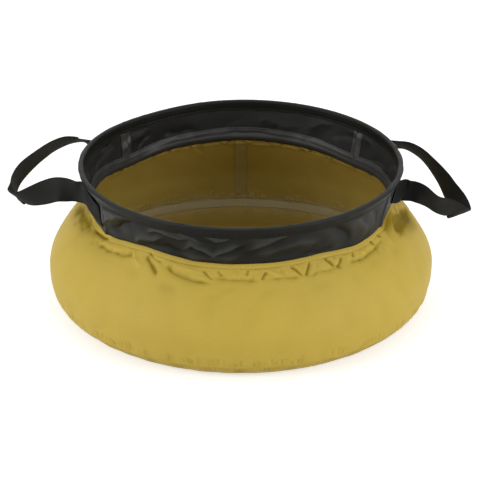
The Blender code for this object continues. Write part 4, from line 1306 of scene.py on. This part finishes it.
def make_handle(side):
    route = handle_route(side)
    flip = np.array((-1.0 if side == "left" else 1.0, 1.0, 1.0))
    centre, lean = route[:, :3], np.radians(route[:, 3])[:, None]
    ahead = unit(np.gradient(centre, axis=0))
    face = unit(np.cross(ahead, (0.0, 0.0, 1.0)))
    up = np.cross(face, ahead)
    across = up * np.cos(lean) + face * np.sin(lean)
    out = face * np.cos(lean) - up * np.sin(lean)
    arc = distances(centre)
    section = strap_section()
    rng = np.random.default_rng(17 if side == "left" else 18)
    phase = rng.uniform(0, TURN, 6)
    rows = []
    for u, w in section:
        share = u / (WEBBING_WIDTH / 2)
        curl = WEBBING_CUP * (share ** 2 - 0.4) * np.sin(arc / CUP_LENGTH + phase[0])
        limp = EDGE_WAVE * np.sin(arc / EDGE_WAVE_LENGTH + phase[1] + 1.3 * share) * np.abs(share)
        shift = (w + curl + limp * smooth(np.minimum(arc, arc[-1] - arc) / EDGE_WAVE_RISE))[:, None]
        rows.append(centre + across * u + out * shift)
    points = pressed(np.stack(rows, 1) * flip)
    uv = np.stack(np.broadcast_arrays(section[None, :, 0], arc[:, None]), -1)
    points = np.concatenate((points, points[:, :1]), 1)
    uv = np.concatenate((uv, uv[:, :1]), 1)
    if side == "right":
        points, uv = points[:, ::-1], uv[:, ::-1]
    # Painted shade near both ends of the strap, full up to the shade reach and fading over the shade
    # fade.
    shade = smooth((SHADE_REACH - np.minimum(arc, arc[-1] - arc)) / SHADE_FADE)
    shade = np.broadcast_to(shade[:, None], points.shape[:2])
    strap = add_mesh(f"handle_strap_{side}", points, uv, webbing, attributes={"painted_shading": shade})
    weld(strap)
    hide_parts(f"handle_{side}", f"handle_end_{side}_front", f"handle_end_{side}_rear")
    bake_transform(strap)

    rows = []
    for stop in END_STITCH_STEPS:
        for end in (stop, len(centre) - 1 - stop):
            for at in np.arange(*END_STITCH_PLACES):
                rows.append((centre[end] + across[end] * at + out[end] * WEBBING_THICKNESS / 2,
                             across[end], out[end]))
    places, ways, outs = (np.array([row[i] for row in rows]) * flip for i in range(3))
    seam = stitches(f"handle_stitches_{side}", pressed(places), ways, outs, black_thread,
                    END_STITCH_LENGTH)
    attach(seam, "collar")


def dress_ferrule():
    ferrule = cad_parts["hoop_ferrule"]
    ferrule.data.materials.clear()
    ferrule.data.materials.append(steel)


# The studio

def white_surface(name, strength):
    """A pale matt surface that the camera sees as near white, still with the object's shadow on it."""
    grey = (0.82, 0.82, 0.82, 1.0)
    shader = Shader(name, Base_Color=grey, Roughness=0.9, Specular_IOR_Level=0.1)
    path = shader.add("ShaderNodeLightPath")
    seen = shader.maths("ADD", path.outputs["Is Camera Ray"], path.outputs["Is Glossy Ray"])
    seen = shader.maths("ADD", seen, path.outputs["Is Transmission Ray"])
    seen.use_clamp = True
    shader.give("Emission Color", WHITE)
    shader.give("Emission Strength", shader.maths("MULTIPLY", seen, strength))
    return shader.material


def add_light(name, place, size, power):
    lamp = bpy.data.lights.new(name, "AREA")
    lamp.shape = "RECTANGLE"
    lamp.size, lamp.size_y = size
    lamp.energy = power
    obj = add_object(name, lamp)
    obj.location = place
    obj.rotation_euler = (Vector(LIGHT_TARGET) - Vector(place)).to_track_quat("-Z", "Y").to_euler()


def make_studio():
    mesh = bpy.data.meshes.new("floor")
    corners = [(x * FLOOR_HALF, y * FLOOR_HALF, 0) for x, y in ((-1, -1), (1, -1), (1, 1), (-1, 1))]
    mesh.from_pydata(corners, [], [(0, 1, 2, 3)])
    mesh.materials.append(white_surface("floor", FLOOR_GLOW))
    floor = add_object("floor", mesh)
    for name, (place, size, power) in LIGHTS.items():
        add_light(name, place, size, power)
    world = bpy.data.worlds.new("studio")
    bpy.context.scene.world = world
    world.use_nodes = True
    nodes, links = world.node_tree.nodes, world.node_tree.links
    back = nodes["Background"]
    back.inputs["Color"].default_value = WHITE
    path = nodes.new("ShaderNodeLightPath")
    seen = path.outputs["Is Camera Ray"]
    for ray in ("Is Glossy Ray", "Is Transmission Ray"):
        either = nodes.new("ShaderNodeMath")
        either.operation = "MAXIMUM"
        links.new(seen, either.inputs[0])
        links.new(path.outputs[ray], either.inputs[1])
        seen = either.outputs[0]
    strength = nodes.new("ShaderNodeMapRange")
    links.new(seen, strength.inputs["Value"])
    strength.inputs["To Min"].default_value = WORLD_STRENGTH
    links.new(strength.outputs["Result"], back.inputs["Strength"])


def make_camera():
    camera = bpy.data.cameras.new("camera")
    camera.sensor_width = SENSOR_WIDTH
    camera.lens = camera.sensor_width * CAMERA_FOCAL_PIXELS / PHOTO_PIXELS
    camera.shift_x = -(MIDDLE_PIXEL - PHOTO_PIXELS / 2) / PHOTO_PIXELS
    camera.clip_end = CLIP_END
    obj = add_object("camera", camera)
    tilt = radians(CAMERA_ELEVATION)
    obj.location = (0.0, -CAMERA_DISTANCE * cos(tilt), AIM_HEIGHT + CAMERA_DISTANCE * sin(tilt))
    obj.rotation_euler = (pi / 2 - tilt, 0.0, 0.0)
    bpy.context.scene.camera = obj


make_skirt()
make_base()
make_bowl_seams()
make_collar()
make_collar_seams()
make_neck_tape()
make_casing()
make_casing_stitches()
for side in ("left", "right"):
    make_handle(side)
make_hoop()
dress_ferrule()
make_studio()
make_camera()
bpy.context.scene.view_settings.view_transform = "Standard"
